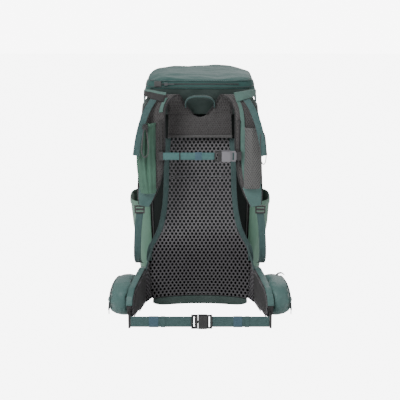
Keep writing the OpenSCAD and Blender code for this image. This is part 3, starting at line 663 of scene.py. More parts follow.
# pockets on the bag
def bagPocket(name, start, end, low, high, gap, finish, node, slot, seed, hem):
    def stand(u, v):
        return 0.0035 + gap * sin(pi * u) ** 0.7 * v ** 0.6 if 0 < u < 1 else 0.0035

    def place(u, v):
        a = radians(start + (end - start) * u)
        z = low + (high - low) * v
        edge = min(1, 7 * min(u, 1 - u), 5 * v)    # no creases along the sewn edges
        off = stand(u, v) + 0.0015
        point = bagPoint(a, z, off)
        return bagPoint(a, z, off + creased(point, seed, 0.0045, (1, 1, 0.3)) * edge)
    bm = patch(44, 36, place, size=(0.2, 0.26))
    piece(name, bm, finish, "pack", node, slot, solid=0.0016, subdivide=1)
    rim = [bagPoint(radians(start + (end - start) * k / 16), high, stand(k / 16, 1.0) + 0.0015)
           for k in range(17)]
    lower = [p - Vector((0, 0, 0.014)) for p in rim]
    upper = [p + Vector((0, 0, 0.001)) for p in rim]
    piece(name + "_hem", stripMesh(lower, upper, 0.004, along=64), hem, "pack", slot=slot)


# start and end are degrees round the bag, low and high are heights, gap is how far the mouth stands out
for label, start, end, seed in (("right", -43, 43, 3), ("left", 137, 223, 7)):
    bagPocket("side_pocket_" + label + "_cloth", start, end, 0.022, 0.288, 0.030, "leafCloth",
              "side_pocket_" + label, "leaf_cloth", seed, "leafHem")
bagPocket("front_pocket_cloth", 48, 132, 0.030, 0.420, 0.024, "lidSide", "front_pocket", "dark_cloth", 11,
          "binding")
print("bag made")


# lid: a soft dome with a zipped rear face
lidShape = {
    "halfWidth": 0.156, "backY": -0.133, "frontY": 0.160, "hingeZ": 0.626, "rimZ": 0.580, "shoulderZ": 0.640,
    "crownZ": 0.660, "rearPower": 7.0, "frontPower": 3.6, "zipZ": 0.639, "zipHalf": 0.105,
    "tapeHalf": 0.0028, "zipTeeth": 105,
    "leanFrom": 0.596, "leanOver": 0.050, "lean": 0.085, "sideShare": 0.4,
}
lidMidY = (lidShape["backY"] + lidShape["frontY"]) / 2
lidHalfY = (lidShape["frontY"] - lidShape["backY"]) / 2


def lidOutline(a, share, off=0.0):
    power = lidShape["rearPower"] if sin(a) < 0 else lidShape["frontPower"]
    return Vector(((lidShape["halfWidth"] + off) * share * curl(cos(a), power),
                   lidMidY + (lidHalfY + off) * share * curl(sin(a), power), 0))


# the sides lean in towards the crown
def lidLean(z):
    above = (z - lidShape["leanFrom"]) / lidShape["leanOver"]
    return 1 - lidShape["lean"] * min(1.25, max(0.0, above)) ** 1.4


def lidRim(a):
    k = min(1, max(0, (-sin(a) - 0.35) / 0.4))
    return lidShape["rimZ"] + (lidShape["hingeZ"] - lidShape["rimZ"]) * k * k * (3 - 2 * k)


# v runs from the rim up the side, over the shoulder and across the crown
def lidPlace(u, v, off=0.0):
    a = u * 2 * pi
    low = lidRim(a)
    if v < lidShape["sideShare"]:
        k = v / lidShape["sideShare"]
        at = lidOutline(a, 1.0, off)
        at.z = low + (lidShape["shoulderZ"] - low) * k
    else:
        t = (v - lidShape["sideShare"]) / (1 - lidShape["sideShare"])
        at = lidOutline(a, max(0.0, cos(pi / 2 * t)) ** 0.55, off)
        rise = lidShape["crownZ"] - lidShape["shoulderZ"]
        at.z = lidShape["shoulderZ"] + rise * sin(pi / 2 * t) ** 0.75 + off
    at.x *= lidLean(at.z)
    top = min(1, max(0, (at.z - 0.63) / 0.02))
    fold = creased(at, 21, 0.006, (0.55, 1.2, 1.6))
    dent = noise.noise(Vector((at.x * 9, at.y * 7, 4))) * 0.006
    at.z += (fold + dent) * top - 0.002 * top
    return at


def lidCloth():
    bm = patch(128, 56, lidPlace, weld=True, size=(0.9, 0.3))
    bmesh.ops.recalc_face_normals(bm, faces=bm.faces[:])
    return piece("lid_cloth", bm, "lidCloth", "lid", "lid_shell", "shell_cloth", solid=0.0016, subdivide=1)


lidCloth()


def lidPiping(name, height, off, radius, finish, start=198, end=342):
    path = []
    for k in range(25):
        a = radians(start + (end - start) * k / 24)
        at = lidOutline(a, 1.0, off)
        at.z = height
        at.x *= lidLean(height)
        path.append(at)
    return piece(name, tubeMesh(path, radius, sides=8, along=96), finish, "lid", slot="shell_cloth")


lidPiping("lid_piping_upper", 0.6475, 0.0012, 0.0014, "binding")
lidPiping("lid_piping_lower", 0.6300, 0.0012, 0.0014, "lidSide", 180, 360)


def lidZip():
    low, high = lidShape["zipZ"] - lidShape["tapeHalf"], lidShape["zipZ"] + lidShape["tapeHalf"]
    face = lidShape["backY"] - 0.0015
    tape = boxMesh((-lidShape["zipHalf"], face, low), (lidShape["zipHalf"], face + 0.0012, high), 0.0004)
    piece("lid_zip_tape", tape, "lidSide", "lid", "lid_zip_track", "zip", smooth=False)
    teeth = bmesh.new()
    count = lidShape["zipTeeth"]
    for k in range(count):
        x = -lidShape["zipHalf"] + 2 * lidShape["zipHalf"] * (k + 0.5) / count
        tooth = boxMesh((x - 0.0006, face - 0.0005, lidShape["zipZ"] - 0.0013),
                        (x + 0.0006, face + 0.0003, lidShape["zipZ"] + 0.0013))
        teeth = joinMeshes(teeth, tooth)
    piece("lid_zip_teeth", teeth, "plastic", "lid", slot="zip", smooth=False)
    garage = boxMesh((-0.124, face - 0.0012, 0.632), (-0.1052, face + 0.003, 0.6462), 0.0009)
    piece("lid_zip_garage", garage, "darkBinding", "lid", slot="zip", smooth=False)


lidZip()


def lidLiner():
    bm = bmesh.new()
    bmesh.ops.create_circle(bm, cap_ends=True, segments=96, radius=1)
    for v in bm.verts:
        v.co = lidOutline(math.atan2(v.co.y, v.co.x), 1.0, -0.0035)
        v.co.z = 0.6275
        v.co.x *= lidLean(v.co.z)
    bmesh.ops.poke(bm, faces=bm.faces[:])
    up = bmesh.ops.extrude_face_region(bm, geom=bm.faces[:])
    bmesh.ops.translate(bm, vec=(0, 0, 0.001), verts=newVerts(up))
    bmesh.ops.recalc_face_normals(bm, faces=bm.faces[:])
    return piece("lid_liner_cloth", bm, "darkCloth", "lid", "lid_liner", "dark_cloth", smooth=False)


lidLiner()


# dark cloth from the back panel up to the lid's hinge edge
def lidFlap():
    rows = [Vector((0, -0.0975, 0.550)), Vector((0, -0.104, 0.572)), Vector((0, -0.111, 0.588)),
            Vector((0, -0.122, 0.606)), Vector((0, -0.1305, 0.6255))]

    def place(u, v):
        at = curvePoint(rows, v)
        x = 0.146 * (2 * u - 1)
        fold = creased(Vector((x, 0, at.z)), 31, 0.002) * min(1, 5 * v, 5 * (1 - v))
        return Vector((x, at.y + fold, at.z))
    bm = patch(48, 14, place, size=(0.3, 0.07))
    flap = finishObject("lid_flap_cloth", bm, "darkCloth", solid=0.0016, subdivide=1)
    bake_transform(flap)
    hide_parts("lid_flap")


lidFlap()
print("lid made")


# the tensioned mesh: open cells cut in a curved sheet, over a dark backing whose near-black colour is partly
# painted shade
meshShape = {"low": 0.026, "top": 0.486, "pitchX": 0.0112, "pitchZ": 0.0090}
meshHalfRows = [(0.026, 0.136), (0.06, 0.143), (0.12, 0.146), (0.155, 0.146), (0.175, 0.141),
                (0.195, 0.130), (0.215, 0.120), (0.240, 0.111), (0.280, 0.103), (0.330, 0.098),
                (0.440, 0.094), (0.484, 0.090)]


def meshHalf(z):
    return table(z, meshHalfRows)


def meshDepth(x, z):
    bow = table(z, [(0.026, -0.004), (0.09, 0.006), (0.16, 0.009), (0.30, 0.002), (0.484, 0.0)])
    rest = bagShape["meshY"] - bow
    sweep = 0.038 * max(0.0, 1 - z / 0.175) ** 1.4
    return rest - sweep * min(1.2, abs(x) / meshHalf(z)) ** 2.2


# cells of a staggered lattice; each becomes a rim of cloth round a hole
hexCorners = [(0, 2 / 3), (-0.5, 1 / 3), (-0.5, -1 / 3), (0, -2 / 3), (0.5, -1 / 3), (0.5, 1 / 3)]


# the lattice is drawn squeezed across while its holes are inset, which leaves them taller than wide
def netSheet(low, top, reach, keep, pitchX, pitchZ, rim, squeeze, onto):
    bm = bmesh.new()
    for row in range(int((top - low) / pitchZ) + 1):
        z = low + row * pitchZ
        shift = pitchX / 2 if row % 2 else 0.0
        count = int(reach / pitchX) + 1
        for k in range(-count, count + 1):
            x = k * pitchX + shift
            if not keep(x, z):
                continue
            cell = bmesh.ops.create_circle(bm, cap_ends=True, segments=6, radius=pitchX / 2)["verts"]
            for v, (across, up) in zip(cell, hexCorners):
                v.co = Vector(((x + across * pitchX) * squeeze, 0, z + up * pitchZ))
    bmesh.ops.remove_doubles(bm, verts=bm.verts[:], dist=pitchX * 0.04)
    cells = bm.faces[:]
    bmesh.ops.inset_individual(bm, faces=cells, thickness=rim, use_even_offset=True)
    bmesh.ops.delete(bm, geom=cells, context="FACES")
    for v in bm.verts:
        v.co = Vector(onto(v.co.x / squeeze, v.co.z))
    bmesh.ops.recalc_face_normals(bm, faces=bm.faces[:])
    return bm


# back: the net, its lumbar zone and the bands along its edges
backParts = {"split": 0.204, "rim": 0.00085, "squeeze": 0.38, "bandIn": 0.010, "bandOut": 0.005}


def onMesh(x, z):
    return (x, meshDepth(x, z), z)


def withinMesh(x, z):
    return abs(x) < meshHalf(z) - 0.002


backNet = netSheet(meshShape["low"] + 0.006, meshShape["top"] - 0.004, 0.15, withinMesh,
                   meshShape["pitchX"], meshShape["pitchZ"], backParts["rim"], backParts["squeeze"], onMesh)
piece("net", backNet, "net", "pack", "mesh_panel", "mesh", solid=0.0016, subdivide=1)


def lumbarPad(u, v):
    z = meshShape["low"] + (backParts["split"] + 0.006 - meshShape["low"]) * v
    x = meshHalf(z) * (2 * u - 1) * 0.99
    return Vector((x, meshDepth(x, z) + 0.0050, z))


# the lumbar pad behind the net, near-black as painted shade in its holes
piece("lumbar_backing", patch(40, 30, lumbarPad, size=(0.28, 0.18)), "netBacking", "pack", slot="mesh",
      solid=0.002)


def meshBand(side):
    heights = [0.484, 0.44, 0.39, 0.33, 0.28, 0.24, 0.215, 0.195, 0.175, 0.15, 0.135]
    inner, outer = [], []
    for z in heights:
        half = meshHalf(z)
        inner.append(Vector((side * (half - backParts["bandIn"]), meshDepth(half - 0.01, z) - 0.0020, z)))
        outer.append(Vector((side * (half + backParts["bandOut"]), meshDepth(half, z) - 0.0004, z)))
    return stripMesh(inner, outer, 0.0032, along=90)


for side, label in ((-1, "left"), (1, "right")):
    piece("mesh_band_" + label, meshBand(side), "binding", "pack", slot="mesh")


def lumbarShelf():
    xs = [0.134 * (k / 6 - 1) for k in range(13)]
    front = [Vector((x, meshDepth(x, 0.026) + 0.001, 0.0125)) for x in xs]
    rear = [Vector((x, -0.0715, 0.0125)) for x in xs]
    shelf = stripMesh(front, rear, 0.0245, along=60, around=28, square=14.0)
    for v in shelf.verts:
        v.co.z += (0.021 - v.co.z) * 0.6 * (abs(v.co.x) / 0.134) ** 9
    return shelf


piece("lumbar_shelf_cloth", lumbarShelf(), "darkCloth", "pack", "lumbar_shelf", "dark_cloth")


# yoke: spacer pad with a plain band along its foot, and two horns that carry the straps
yokeShape = {"half": 0.088, "low": 0.4905, "top": 0.5590, "thick": 0.009, "bandWide": 0.0075}


def yokeDip(x):
    return table(abs(x), [(0.0, 0.0105), (0.012, 0.0075), (0.026, 0.0)])


def yokePad():
    xs = [yokeShape["half"] * (k / 5 - 1) for k in range(11)]
    foot = [Vector((x, bagShape["yokeY"], yokeShape["low"])) for x in xs]
    brow = [Vector((x, bagShape["yokeY"], yokeShape["top"] - yokeDip(x))) for x in xs]
    return stripMesh(foot, brow, yokeShape["thick"], along=48, around=20, square=7.0)


yoke = piece("yoke_pad", yokePad(), "spacer", "pack", "yoke", "foam")
inflate(yoke, 0.004, 3.0, 0.0025)
bandEnds = [Vector((x, -0.1245, yokeShape["low"] - 0.001)) for x in (-0.0885, 0.0, 0.0885)]
bandTop = [p + Vector((0, 0, yokeShape["bandWide"])) for p in bandEnds]
yokeBand = stripMesh(bandEnds, bandTop, 0.0030, along=48)
piece("yoke_lower_band", yokeBand, "spacerPale", "pack", slot="mesh")


hornIn = [(0.018, -0.1180, 0.553), (0.032, -0.1210, 0.570), (0.044, -0.1290, 0.588),
          (0.051, -0.1420, 0.604), (0.056, -0.1570, 0.6135)]
hornOut = [(0.088, -0.1180, 0.553), (0.088, -0.1210, 0.570), (0.088, -0.1290, 0.588),
           (0.093, -0.1420, 0.603), (0.102, -0.1560, 0.6105)]


def hornEdge(side, edge, ahead):
    return [Vector((side * x, y - ahead, z + ahead * 0.3)) for x, y, z in edge]


for side, label in ((-1, "left"), (1, "right")):
    cover = stripMesh(hornEdge(side, hornIn, 0), hornEdge(side, hornOut, 0), 0.0085, along=44, around=30,
                      square=6.0)
    horn = piece("horn_" + label, cover, "spacer", "pack", slot="foam")
    inflate(horn, 0.004, 3.0, 0.0022)
    for edge, name in ((hornIn, "horn_binding_in_"), (hornOut, "horn_binding_out_")):
        seam = tubeMesh(hornEdge(side, edge, 0.0050), 0.0017, sides=8, along=44)
        piece(name + label, seam, "greyBinding", "pack", slot="foam")

handleHalf = [(0.039, -0.124, 0.574), (0.039, -0.130, 0.588), (0.032, -0.138, 0.600), (0.018, -0.144, 0.606)]
handlePath = [(-x, y, z) for x, y, z in handleHalf] + [(0, -0.145, 0.607)] + handleHalf[::-1]
piece("grab_handle_web", webbingMesh(handlePath, (0, 1, 0), 0.020, 0.0036, along=72), "handleWeb", "handle",
      "grab_handle", "webbing")
print("back made")


# shoulder straps, drawn for the right and mirrored
strapShape = {
    "thick": 0.0105,
    "inner": [(0.060, -0.163, 0.614), (0.080, -0.182, 0.603), (0.092, -0.194, 0.578), (0.094, -0.200, 0.535),
              (0.094, -0.200, 0.480), (0.098, -0.198, 0.430), (0.107, -0.193, 0.380), (0.122, -0.185, 0.340),
              (0.139, -0.175, 0.308)],
    "outer": [(0.106, -0.163, 0.611), (0.137, -0.180, 0.598), (0.153, -0.191, 0.574), (0.163, -0.197, 0.532),
              (0.164, -0.198, 0.478), (0.166, -0.196, 0.430), (0.168, -0.192, 0.384), (0.170, -0.185, 0.346),
              (0.168, -0.176, 0.314)],
}
strapIn = [Vector(p) for p in strapShape["inner"]]
strapOut = [Vector(p) for p in strapShape["outer"]]


# a band lying on the strap's face, from share a to share b of its width
def onStrap(a, b, start, end, thick, lift, skew=0.0):
    one, two = [], []
    for k in range(13):
        t = start + (end - start) * k / 12
        left, right = curvePoint(strapIn, t + skew * (1 - k / 12)), curvePoint(strapOut, t)
        near, far = max(t - 0.01, 0), min(t + 0.01, 1)
        way = curvePoint(strapIn, far) - curvePoint(strapIn, near)
        out = way.cross(right - left).normalized()
        out = out if out.y < 0 else -out
        one.append(left + (right - left) * a + out * lift)
        two.append(left + (right - left) * b + out * lift)
    return stripMesh(one, two, thick, along=60, around=12, square=6.0)


def strapEdge(points, inward):
    path = [p + Vector((inward, 0.0, 0.0)) for p in points]
    return tubeMesh(path, 0.0026, sides=10, along=90)


for side, label in sides:
    body = "strap_" + label
    foam = onSide(side, stripMesh(strapIn, strapOut, strapShape["thick"], along=110, around=32, square=5.0))
    pad = piece("strap_pad_" + label, foam, "spacer", body, "shoulder_strap_" + label, "foam")
    inflate(pad, 0.005, 3.0, 0.0012)
    place = (0.20, 0.37, 0.15, 0.80) if side > 0 else (0.10, 0.26, 0.12, 0.27)
    stripe = onSide(side, onStrap(*place, 0.0014, 0.0086))
    piece("strap_stripe_" + label, stripe, "paleWebbing", body, slot="webbing")
    for name, points, inward in (("in_", strapIn, 0.0012), ("out_", strapOut, -0.0012)):
        seam = onSide(side, strapEdge(points, inward))
        piece("strap_edge_" + name + label, seam, "greyBinding", body, slot="foam")
lowerPanels = {"right": onStrap(0.06, 0.94, 0.68, 0.985, 0.0016, 0.0084, 0.12),
               "left": mirrored(onStrap(0.06, 0.94, 0.80, 0.985, 0.0016, 0.0084))}
for label, panel in lowerPanels.items():
    piece("strap_lower_panel_" + label, panel, "beltCloth", "strap_" + label, slot="shell_cloth")


# pockets on the straps: gathered cloth on the left, stretch mesh on the right
pocketInner = 0.119    # where both pockets start, across the strap


def strapPocket(name, low, high, outer, gap, bulge, gathers, deep, groove, finish, body, node, slot, flip):
    def place(u, v):
        z = low + (high - low) * v
        x = pocketInner + (outer + bulge * sin(pi * v) - pocketInner) * u
        fold = sin(u * gathers * 2 * pi + 0.8 * sin(v * 5)) * deep * sin(pi * u) * (0.35 + 0.65 * v)
        dent = groove * math.exp(-((u - 0.44 - 0.10 * v) / 0.075) ** 2) * min(1.0, max(0.0, v * 1.6 - 0.15))
        y = -0.2055 - gap * max(0.0, sin(pi * u)) ** 0.8 * (0.45 + 0.55 * v) - fold + dent
        return Vector((x, y, z))
    bm = patch(72, 40, place, size=(0.07, high - low))
    bm = mirrored(bm) if flip else bm
    piece(name, bm, finish, body, node, slot, solid=0.0013, subdivide=1)
    rim = [place(k / 20, 1.0) for k in range(21)]
    lower, upper = [[p + Vector((0, -0.0008, up)) for p in rim] for up in (-0.007, 0.0006)]
    hem = stripMesh(lower, upper, 0.0026, along=60)
    hem = mirrored(hem) if flip else hem
    piece(name + "_hem", hem, finish, body, slot=slot)


strapPocket("flask_pocket_cloth", 0.352, 0.546, 0.160, 0.022, 0.011, 4, 0.0026, 0.0160, "flaskCloth",
            "strap_left", "flask_pocket", "leaf_cloth", True)
strapPocket("strap_mesh_cloth", 0.365, 0.533, 0.162, 0.017, 0.004, 3, 0.0006, 0.0, "stretchMesh",
            "strap_right", "strap_mesh_pocket", "mesh", False)


# load lifters, their tails and the webbing down to the belt
lifter = {
    "upper": [(0.090, -0.179, 0.623), (0.112, -0.171, 0.625), (0.136, -0.148, 0.626), (0.152, -0.130, 0.624)],
    "lower": [(0.097, -0.196, 0.600), (0.118, -0.191, 0.605), (0.139, -0.166, 0.608), (0.152, -0.125, 0.606)],
    "strapEnd": (0.100, -0.190, 0.606), "packEnd": (0.150, -0.130, 0.616),
    "tail": [(0.124, -0.196, 0.606), (0.138, -0.212, 0.585), (0.152, -0.229, 0.552), (0.163, -0.2335, 0.510),
             (0.171, -0.2325, 0.461)],
}
lowerPath = [(0.166, -0.170, 0.286), (0.171, -0.164, 0.245), (0.175, -0.148, 0.185), (0.176, -0.130, 0.148),
             (0.174, -0.110, 0.128), (0.171, -0.076, 0.116)]
for side, label in sides:
    upper = [Vector(p) for p in lifter["upper"]]
    lower = [Vector(p) for p in lifter["lower"]]
    band = onSide(side, stripMesh(upper, lower, 0.0018, along=40))
    band = finishObject("lifter_" + label, band, "paleWebbing")
    "strap_" + label
    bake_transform(band)
    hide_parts("load_lifter_" + label)
    tail = onSide(side, webbingMesh(lifter["tail"], (0.96, -0.10, 0.24), 0.018, 0.0018, along=60))
    piece("lifter_tail_" + label, tail, "webbing", "strap_" + label, slot="lifter_webbing")
    strip = onSide(side, webbingMesh(lowerPath, (1, 0, 0), 0.020, 0.0018, along=60))
    web = finishObject("lower_web_" + label, strip, "webbing")
    "strap_" + label
    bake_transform(web)
    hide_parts("lower_webbing_" + label)
loopPath = [(0.160, -0.2350, 0.520), (0.160, -0.2345, 0.480), (0.163, -0.2340, 0.450),
            (0.169, -0.2338, 0.438), (0.175, -0.2340, 0.448), (0.176, -0.2345, 0.480),
            (0.172, -0.2350, 0.515), (0.166, -0.2350, 0.527)]
piece("tail_loop", tubeMesh(loopPath, 0.0012, sides=8, along=120), "cord", "strap_right", slot="cord")
# a plain dark band sewn round the lower part of the left lifter
bandUpper = [Vector(p).lerp(Vector(q), 0.28) for p, q in zip(lifter["upper"], lifter["lower"])]
bandLower = [Vector(p) + Vector((0, 0, -0.0008)) for p in lifter["lower"]]
labelBand = stripMesh(bandUpper, bandLower, 0.0034, along=40)
labelBand = finishObject("lifter_label_band", mirrored(labelBand), "blackWebbing")
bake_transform(labelBand)
print("straps made")


# hip belt, drawn in a wing's own frame and mirrored
belt = {
    "root": (0.150, -0.119), "spread": 9.6, "thick": 0.016, "pocketDepth": 0.056, "pocketReach": 0.106,
    "pocketZ": 0.072, "pocketLong": 0.079, "pocketUp": 0.0445, "pocketDown": 0.0520,
    "zipMiddle": (0.103, 0.042), "zipRadius": 0.050, "round": 2.5,
}
beltTop = [(0.001, 0.116), (0.030, 0.120), (0.100, 0.113), (0.160, 0.103), (0.186, 0.086), (0.195, 0.066)]
beltLow = [(0.001, 0.016), (0.040, 0.014), (0.100, 0.018), (0.172, 0.027), (0.192, 0.038), (0.195, 0.058)]


wingStart, wingLong, wingMiddle = 0.001, 0.194, 0.098
beltCells = (0.0100, 0.0080, 0.0010, 0.45)    # the net's pitch across and up, its rim and its squeeze


def wingPoint(s, x, z):
    a = radians(belt["spread"])
    return Vector((belt["root"][0] + x * cos(a) + s * sin(a), belt["root"][1] + x * sin(a) - s * cos(a), z))


def wingPad():
    reach = [wingStart + wingLong * (k / 16) for k in range(17)]
    low = [wingPoint(s, 0.0080, table(s, beltLow)) for s in reach]
    top = [wingPoint(s, 0.0080, table(s, beltTop)) for s in reach]
    return stripMesh(low, top, 0.0155, along=80, around=36, square=6.0)


def onWing(x, z):
    return wingPoint(x + wingMiddle, -0.0006, z)


def withinWing(x, z):
    s = x + wingMiddle
    return 0.004 < s < 0.190 and table(s, beltLow) + 0.005 < z < table(s, beltTop) - 0.005


def wingBinding():
    reach = [wingStart + wingLong * k / 20 for k in range(21)]
    inner = [wingPoint(s, -0.0006, table(s, beltTop) + 0.0004) for s in reach]
    outer = [wingPoint(s, 0.0166, table(s, beltTop) + 0.0004) for s in reach]
    return stripMesh(inner, outer, 0.003, along=80)


def wingTab():
    path = [wingPoint(s, 0.008, 0.032) for s in (0.180, 0.188, 0.198)]
    return webbingMesh(path, (0, 0, 1), 0.030, 0.002, along=10)


pocketDeep = [(k / 7, deep) for k, deep in enumerate((0.0, 0.0, 0.3, 0.62, 0.85, 0.97, 1.02, 1.03))]
pocketGrow = [(k / 7, grow) for k, grow in enumerate((0.30, 1.0, 1.03, 0.98, 0.88, 0.72, 0.4, 0.02))]


def pocketPlace(u, v):
    deep, grow = table(v, pocketDeep), table(v, pocketGrow)
    a = u * 2 * pi
    s = belt["pocketReach"] + belt["pocketLong"] * grow * curl(cos(a), belt["round"])
    tall = belt["pocketUp"] if sin(a) > 0 else belt["pocketDown"]
    z = belt["pocketZ"] + tall * grow * curl(sin(a), belt["round"])
    at = wingPoint(s, belt["thick"] + 0.0004 + belt["pocketDepth"] * deep * 0.985, z)
    out = wingPoint(s, 1.0, z) - wingPoint(s, 0.0, z)
    return at + out * creased(at, 41, 0.0150, (0.8, 0.8, 1.9)) * min(1.0, v * 2) * 0.8


def zipArc(radius, lift):
    path = []
    for k in range(21):
        a = radians(180 - 140 * k / 20)
        along, z = belt["zipMiddle"][0] - radius * cos(a), belt["zipMiddle"][1] + radius * sin(a)
        path.append(wingPoint(along, belt["thick"] + belt["pocketDepth"] + lift, z))
    return path


def pocketPiping(grow, deep):
    path = []
    for k in range(65):
        a = 2 * pi * k / 64
        along = belt["pocketReach"] + belt["pocketLong"] * grow * curl(cos(a), belt["round"])
        z = belt["pocketZ"] + belt["pocketUp"] * grow * curl(sin(a), belt["round"])
        path.append(wingPoint(along, belt["thick"] + belt["pocketDepth"] * deep, z))
    return tubeMesh(path, 0.0017, sides=8, along=160)


# the cloth that carries the net round from the back onto each wing, with its band along the top
wrap = {"meshLow": 0.030, "meshTop": 0.183, "wingLow": 0.018, "wingTop": 0.119, "wingStart": 0.022}


def wrapPoint(u, v, lift=0.0):
    z = wrap["meshLow"] + (wrap["meshTop"] - wrap["meshLow"]) * v
    half = meshHalf(z) - 0.003
    near = Vector((half, meshDepth(half, z), z))
    far = wingPoint(wrap["wingStart"], -0.0012, wrap["wingLow"] + (wrap["wingTop"] - wrap["wingLow"]) * v)
    return near.lerp(far, u) + Vector((-0.3, -0.95, 0)) * lift


def wrapNet():
    def onto(x, z):
        return wrapPoint(min(1, max(0, x / 0.04 + 0.5)), min(1, max(0, (z - 0.03) / 0.15)), 0.0012)
    return netSheet(0.036, 0.176, 0.014, lambda x, z: abs(x) < 0.016, *beltCells, onto)


def wrapBand():
    inner = [wrapPoint(k / 8, 1.0, 0.0015) - Vector((0, 0, 0.010)) for k in range(9)]
    outer = [wrapPoint(k / 8, 1.0, 0.0002) + Vector((0, 0, 0.004)) for k in range(9)]
    return stripMesh(inner, outer, 0.003, along=40)


for side, label in sides:
    root = wingPoint(0.0, 0.0, 0.07)
    # the wrap cloth under its net is near-black as painted shade in the holes
    cloths = (("wrap_cloth_", patch(14, 30, wrapPoint, size=(0.04, 0.15)), "netBacking", 0.0016),
              ("wrap_net_", wrapNet(), "net", 0.0012), ("wrap_band_", wrapBand(), "binding", 0.0))
    for name, made, finish, wall in cloths:
        cover = finishObject(name + label, onSide(side, made), finish, solid=wall)
        "wing_" + label
        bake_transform(cover)

for side, label in sides:
    body = "wing_" + label
    pad = piece("wing_pad_" + label, onSide(side, wingPad()), "wingCloth", body, "hip_wing_" + label, "foam")
    inflate(pad, 0.005, 3.0, 0.0018)
    net = netSheet(0.016, 0.120, 0.11, withinWing, *beltCells, onWing)
    piece("wing_net_" + label, onSide(side, net), "net", body, slot="mesh", solid=0.0012)
    piece("wing_binding_" + label, onSide(side, wingBinding()), "beltCloth", body, slot="belt_pocket")
    piece("wing_tab_" + label, onSide(side, wingTab()), "webbing", body, slot="webbing")
    pouch = onSide(side, patch(72, 40, pocketPlace, weld=True, caps=True, size=(0.3, 0.12)))
    pouch = piece("hip_pocket_" + label + "_cloth", pouch, "beltCloth", body, "hip_pocket_" + label,
                  "belt_pocket")
    inflate(pouch, 0.0038, 4.0, 0.003)
    piece("hip_piping_" + label, onSide(side, pocketPiping(0.885, 0.86)), "lidSide", body, slot="belt_pocket")
    zipTape = tubeMesh(zipArc(belt["zipRadius"], 0.0006), 0.0032, sides=10, along=80)
    piece("hip_zip_" + label, onSide(side, zipTape), "darkBinding", body, slot="zip")
tabPath = [wingPoint(0.078, 0.046, 0.110), wingPoint(0.080, 0.054, 0.119), wingPoint(0.082, 0.063, 0.121),
           wingPoint(0.083, 0.070, 0.116)]
piece("hip_pocket_tab", webbingMesh(tabPath, (0.17, -0.98, 0), 0.009, 0.0022, along=24), "blackWebbing",
      "wing_right", slot="black_webbing")
print("belt made")


# webbing across the chest and the waist, with its elastic keepers
webs = {
    "sternum": {"y": -0.2187, "z": 0.457, "wide": 0.020},
    "waist": {"y": -0.33826, "z": 0.032, "wide": 0.030},
    "through": 0.007,    # how far the waist webbing runs on through its buckle's loop
}


def flatWeb(name, start, end, web, finish, body, node=None, thick=0.0019, wider=0.0):
    path = [(start + (end - start) * k / 6, web["y"], web["z"]) for k in range(7)]
    bm = webbingMesh(path, (0, 0, 1), web["wide"] + wider, thick, along=40)
    return piece(name, bm, finish, body, node, "webbing")


def keeper(name, span, web, finish, body, thick=0.0046):
    return flatWeb(name, span[0], span[1], web, finish, body, thick=thick, wider=0.002)


low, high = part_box("sternum_webbing")
flatWeb("sternum_web", low.x, high.x, webs["sternum"], "sternumWebbing", "sternum_strap", "sternum_webbing")
keeper("sternum_keeper_dark", (-0.0555, -0.0525), webs["sternum"], "blackWebbing", "sternum_strap")
keeper("sternum_keeper_elastic", (-0.0130, 0.0050), webs["sternum"], "elastic", "sternum_strap", 0.0036)
waistKeepers = {"left": ((-0.136, -0.111), (-0.104, -0.093)), "right": ((0.089, 0.112), (0.120, 0.131))}
for label, (inside, folded) in waistKeepers.items():
    low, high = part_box("waist_webbing_" + label)
    start, end = low.x, high.x
    if label == "right":
        start -= webs["through"]
    else:
        end += webs["through"]
    body = "waist_" + label
    flatWeb("waist_web_" + label, start, end, webs["waist"], "webbing", body, "waist_webbing_" + label)
    keeper("waist_keeper_" + label, inside, webs["waist"], "elastic", body, 0.0042)
    keeper("waist_fold_" + label, folded, webs["waist"], "webbing", body, 0.0050)


# the lid's straps: webbing modelled here, buckles taken from the frame's own solids
def looseParts(node, wanted):
    bm = bmesh.new()
    bm.from_mesh(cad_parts[node].data)
    bmesh.ops.remove_doubles(bm, verts=bm.verts[:], dist=1e-6)
    seen, drop = set(), []
    for first in bm.verts:
        if first in seen:
            continue
        group, queue = [], [first]
        seen.add(first)
        while queue:
            v = queue.pop()
            group.append(v)
            for e in v.link_edges:
                other = e.other_vert(v)
                if other not in seen:
                    seen.add(other)
                    queue.append(other)
        if not wanted(group):
            drop.extend(group)
    bmesh.ops.delete(bm, geom=drop, context="VERTS")
    return bm


def isPlug(group):
    return max(v.co.z for v in group) < 0.53


for side, label in sides:
    low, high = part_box("lid_strap_" + label)
    x = (low.x + high.x) / 2
    path = [(x, 0.163, 0.578 - (0.578 - 0.520) * k / 5) for k in range(6)]
    body = "lid_strap_" + label
    piece("lid_web_" + label, webbingMesh(path, (1, 0, 0), 0.020, 0.0019, along=20), "blackWebbing", body,
          body, "black_webbing")
    piece("lid_plug_" + label, looseParts(body, isPlug), "plastic", body, slot="buckle", smooth=False,
          bevel=0.0004)


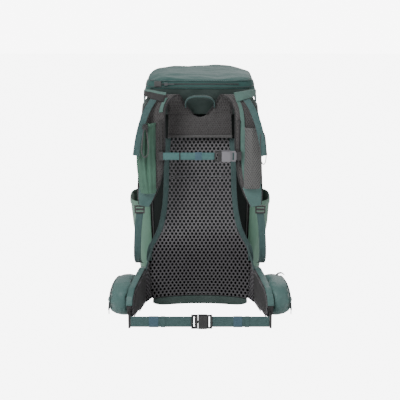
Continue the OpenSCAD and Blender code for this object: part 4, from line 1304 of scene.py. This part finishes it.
# hard parts kept from the frame, each with a small rounded edge and its own finish
hardParts = {
    "plastic": ["lid_buckle_sockets", "strap_ladder_lock_left", "strap_ladder_lock_right",
                "wing_ladder_lock_left", "wing_ladder_lock_right", "waist_buckle_plug",
                "waist_prong_upper", "waist_prong_lower", "waist_buckle_socket",
                "sternum_buckle_plug", "collar_lock_button", "flask_lock_button"],
    "greyPlastic": ["sternum_slider_left", "sternum_slider_right", "collar_cord_lock", "flask_cord_lock"],
    "railPlastic": ["sternum_rail_left", "sternum_rail_right"],
    "whistlePlastic": ["sternum_buckle_socket"],
    "steel": ["hip_zip_slider_left", "hip_zip_slider_right", "lid_zip_slider"],
    "tube": ["frame_hoop", "frame_cross_bars"],
}
for finish, names in hardParts.items():
    for name in names:
        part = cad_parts[name]
        part.data.materials.clear()
        part.data.materials.append(finishes[finish])
        roundEdges(part, 0.0005)
print("small parts made")


# floor and lights
studio = {"floor": tone(243, 243, 243), "floorHalf": 6.0, "key": 96, "fill": 11, "back": 34, "world": 0.62,
          "glow": 8.0}


def addFloor():
    bm = bmesh.new()
    bmesh.ops.create_grid(bm, x_segments=1, y_segments=1, size=studio["floorHalf"])
    for v in bm.verts:
        v.co.z = -0.0005
    f = Finish("floor")
    seen = f.node("ShaderNodeLightPath") * 0.9
    cloth = f.node("ShaderNodeBsdfDiffuse", inputs={"Color": (*studio["floor"], 1)})
    glow = f.node("ShaderNodeEmission", inputs={"Strength": studio["glow"]})
    mixed = f.node("ShaderNodeMixShader", inputs={0: seen, 1: cloth, 2: glow})
    f.node("ShaderNodeOutputMaterial", inputs={0: mixed})
    finishes["floor"] = f.material
    finishObject("floor", bm, "floor", smooth=False)


def addLight(name, place, size, power, aim=(0, -0.1, 0.3)):
    data = bpy.data.lights.new(name, "AREA")
    data.shape = "DISK"
    data.size = size
    data.energy = power
    lamp = bpy.data.objects.new(name, data)
    bpy.context.scene.collection.objects.link(lamp)
    lamp.location = place
    lamp.rotation_euler = (Vector(aim) - Vector(place)).to_track_quat("-Z", "Y").to_euler()


def addWorld():
    world = bpy.data.worlds.new("studio")
    world.use_nodes = True
    world.node_tree.nodes["Background"].inputs[0].default_value = (1, 1, 1, 1)
    tree = world.node_tree
    ray = tree.nodes.new("ShaderNodeLightPath")
    power = tree.nodes.new("ShaderNodeMapRange")
    power.inputs["To Min"].default_value = studio["world"]
    power.inputs["To Max"].default_value = studio["glow"]
    tree.links.new(ray.outputs["Is Camera Ray"], power.inputs["Value"])
    tree.links.new(power.outputs[0], tree.nodes["Background"].inputs[1])
    bpy.context.scene.world = world


addFloor()
addLight("key", (-1.5, -2.2, 2.4), 1.4, studio["key"])
addLight("fill", (2.2, -1.8, 1.2), 2.0, studio["fill"])
addLight("back", (0.4, 2.0, 2.2), 1.6, studio["back"])
addWorld()
print("stage made")
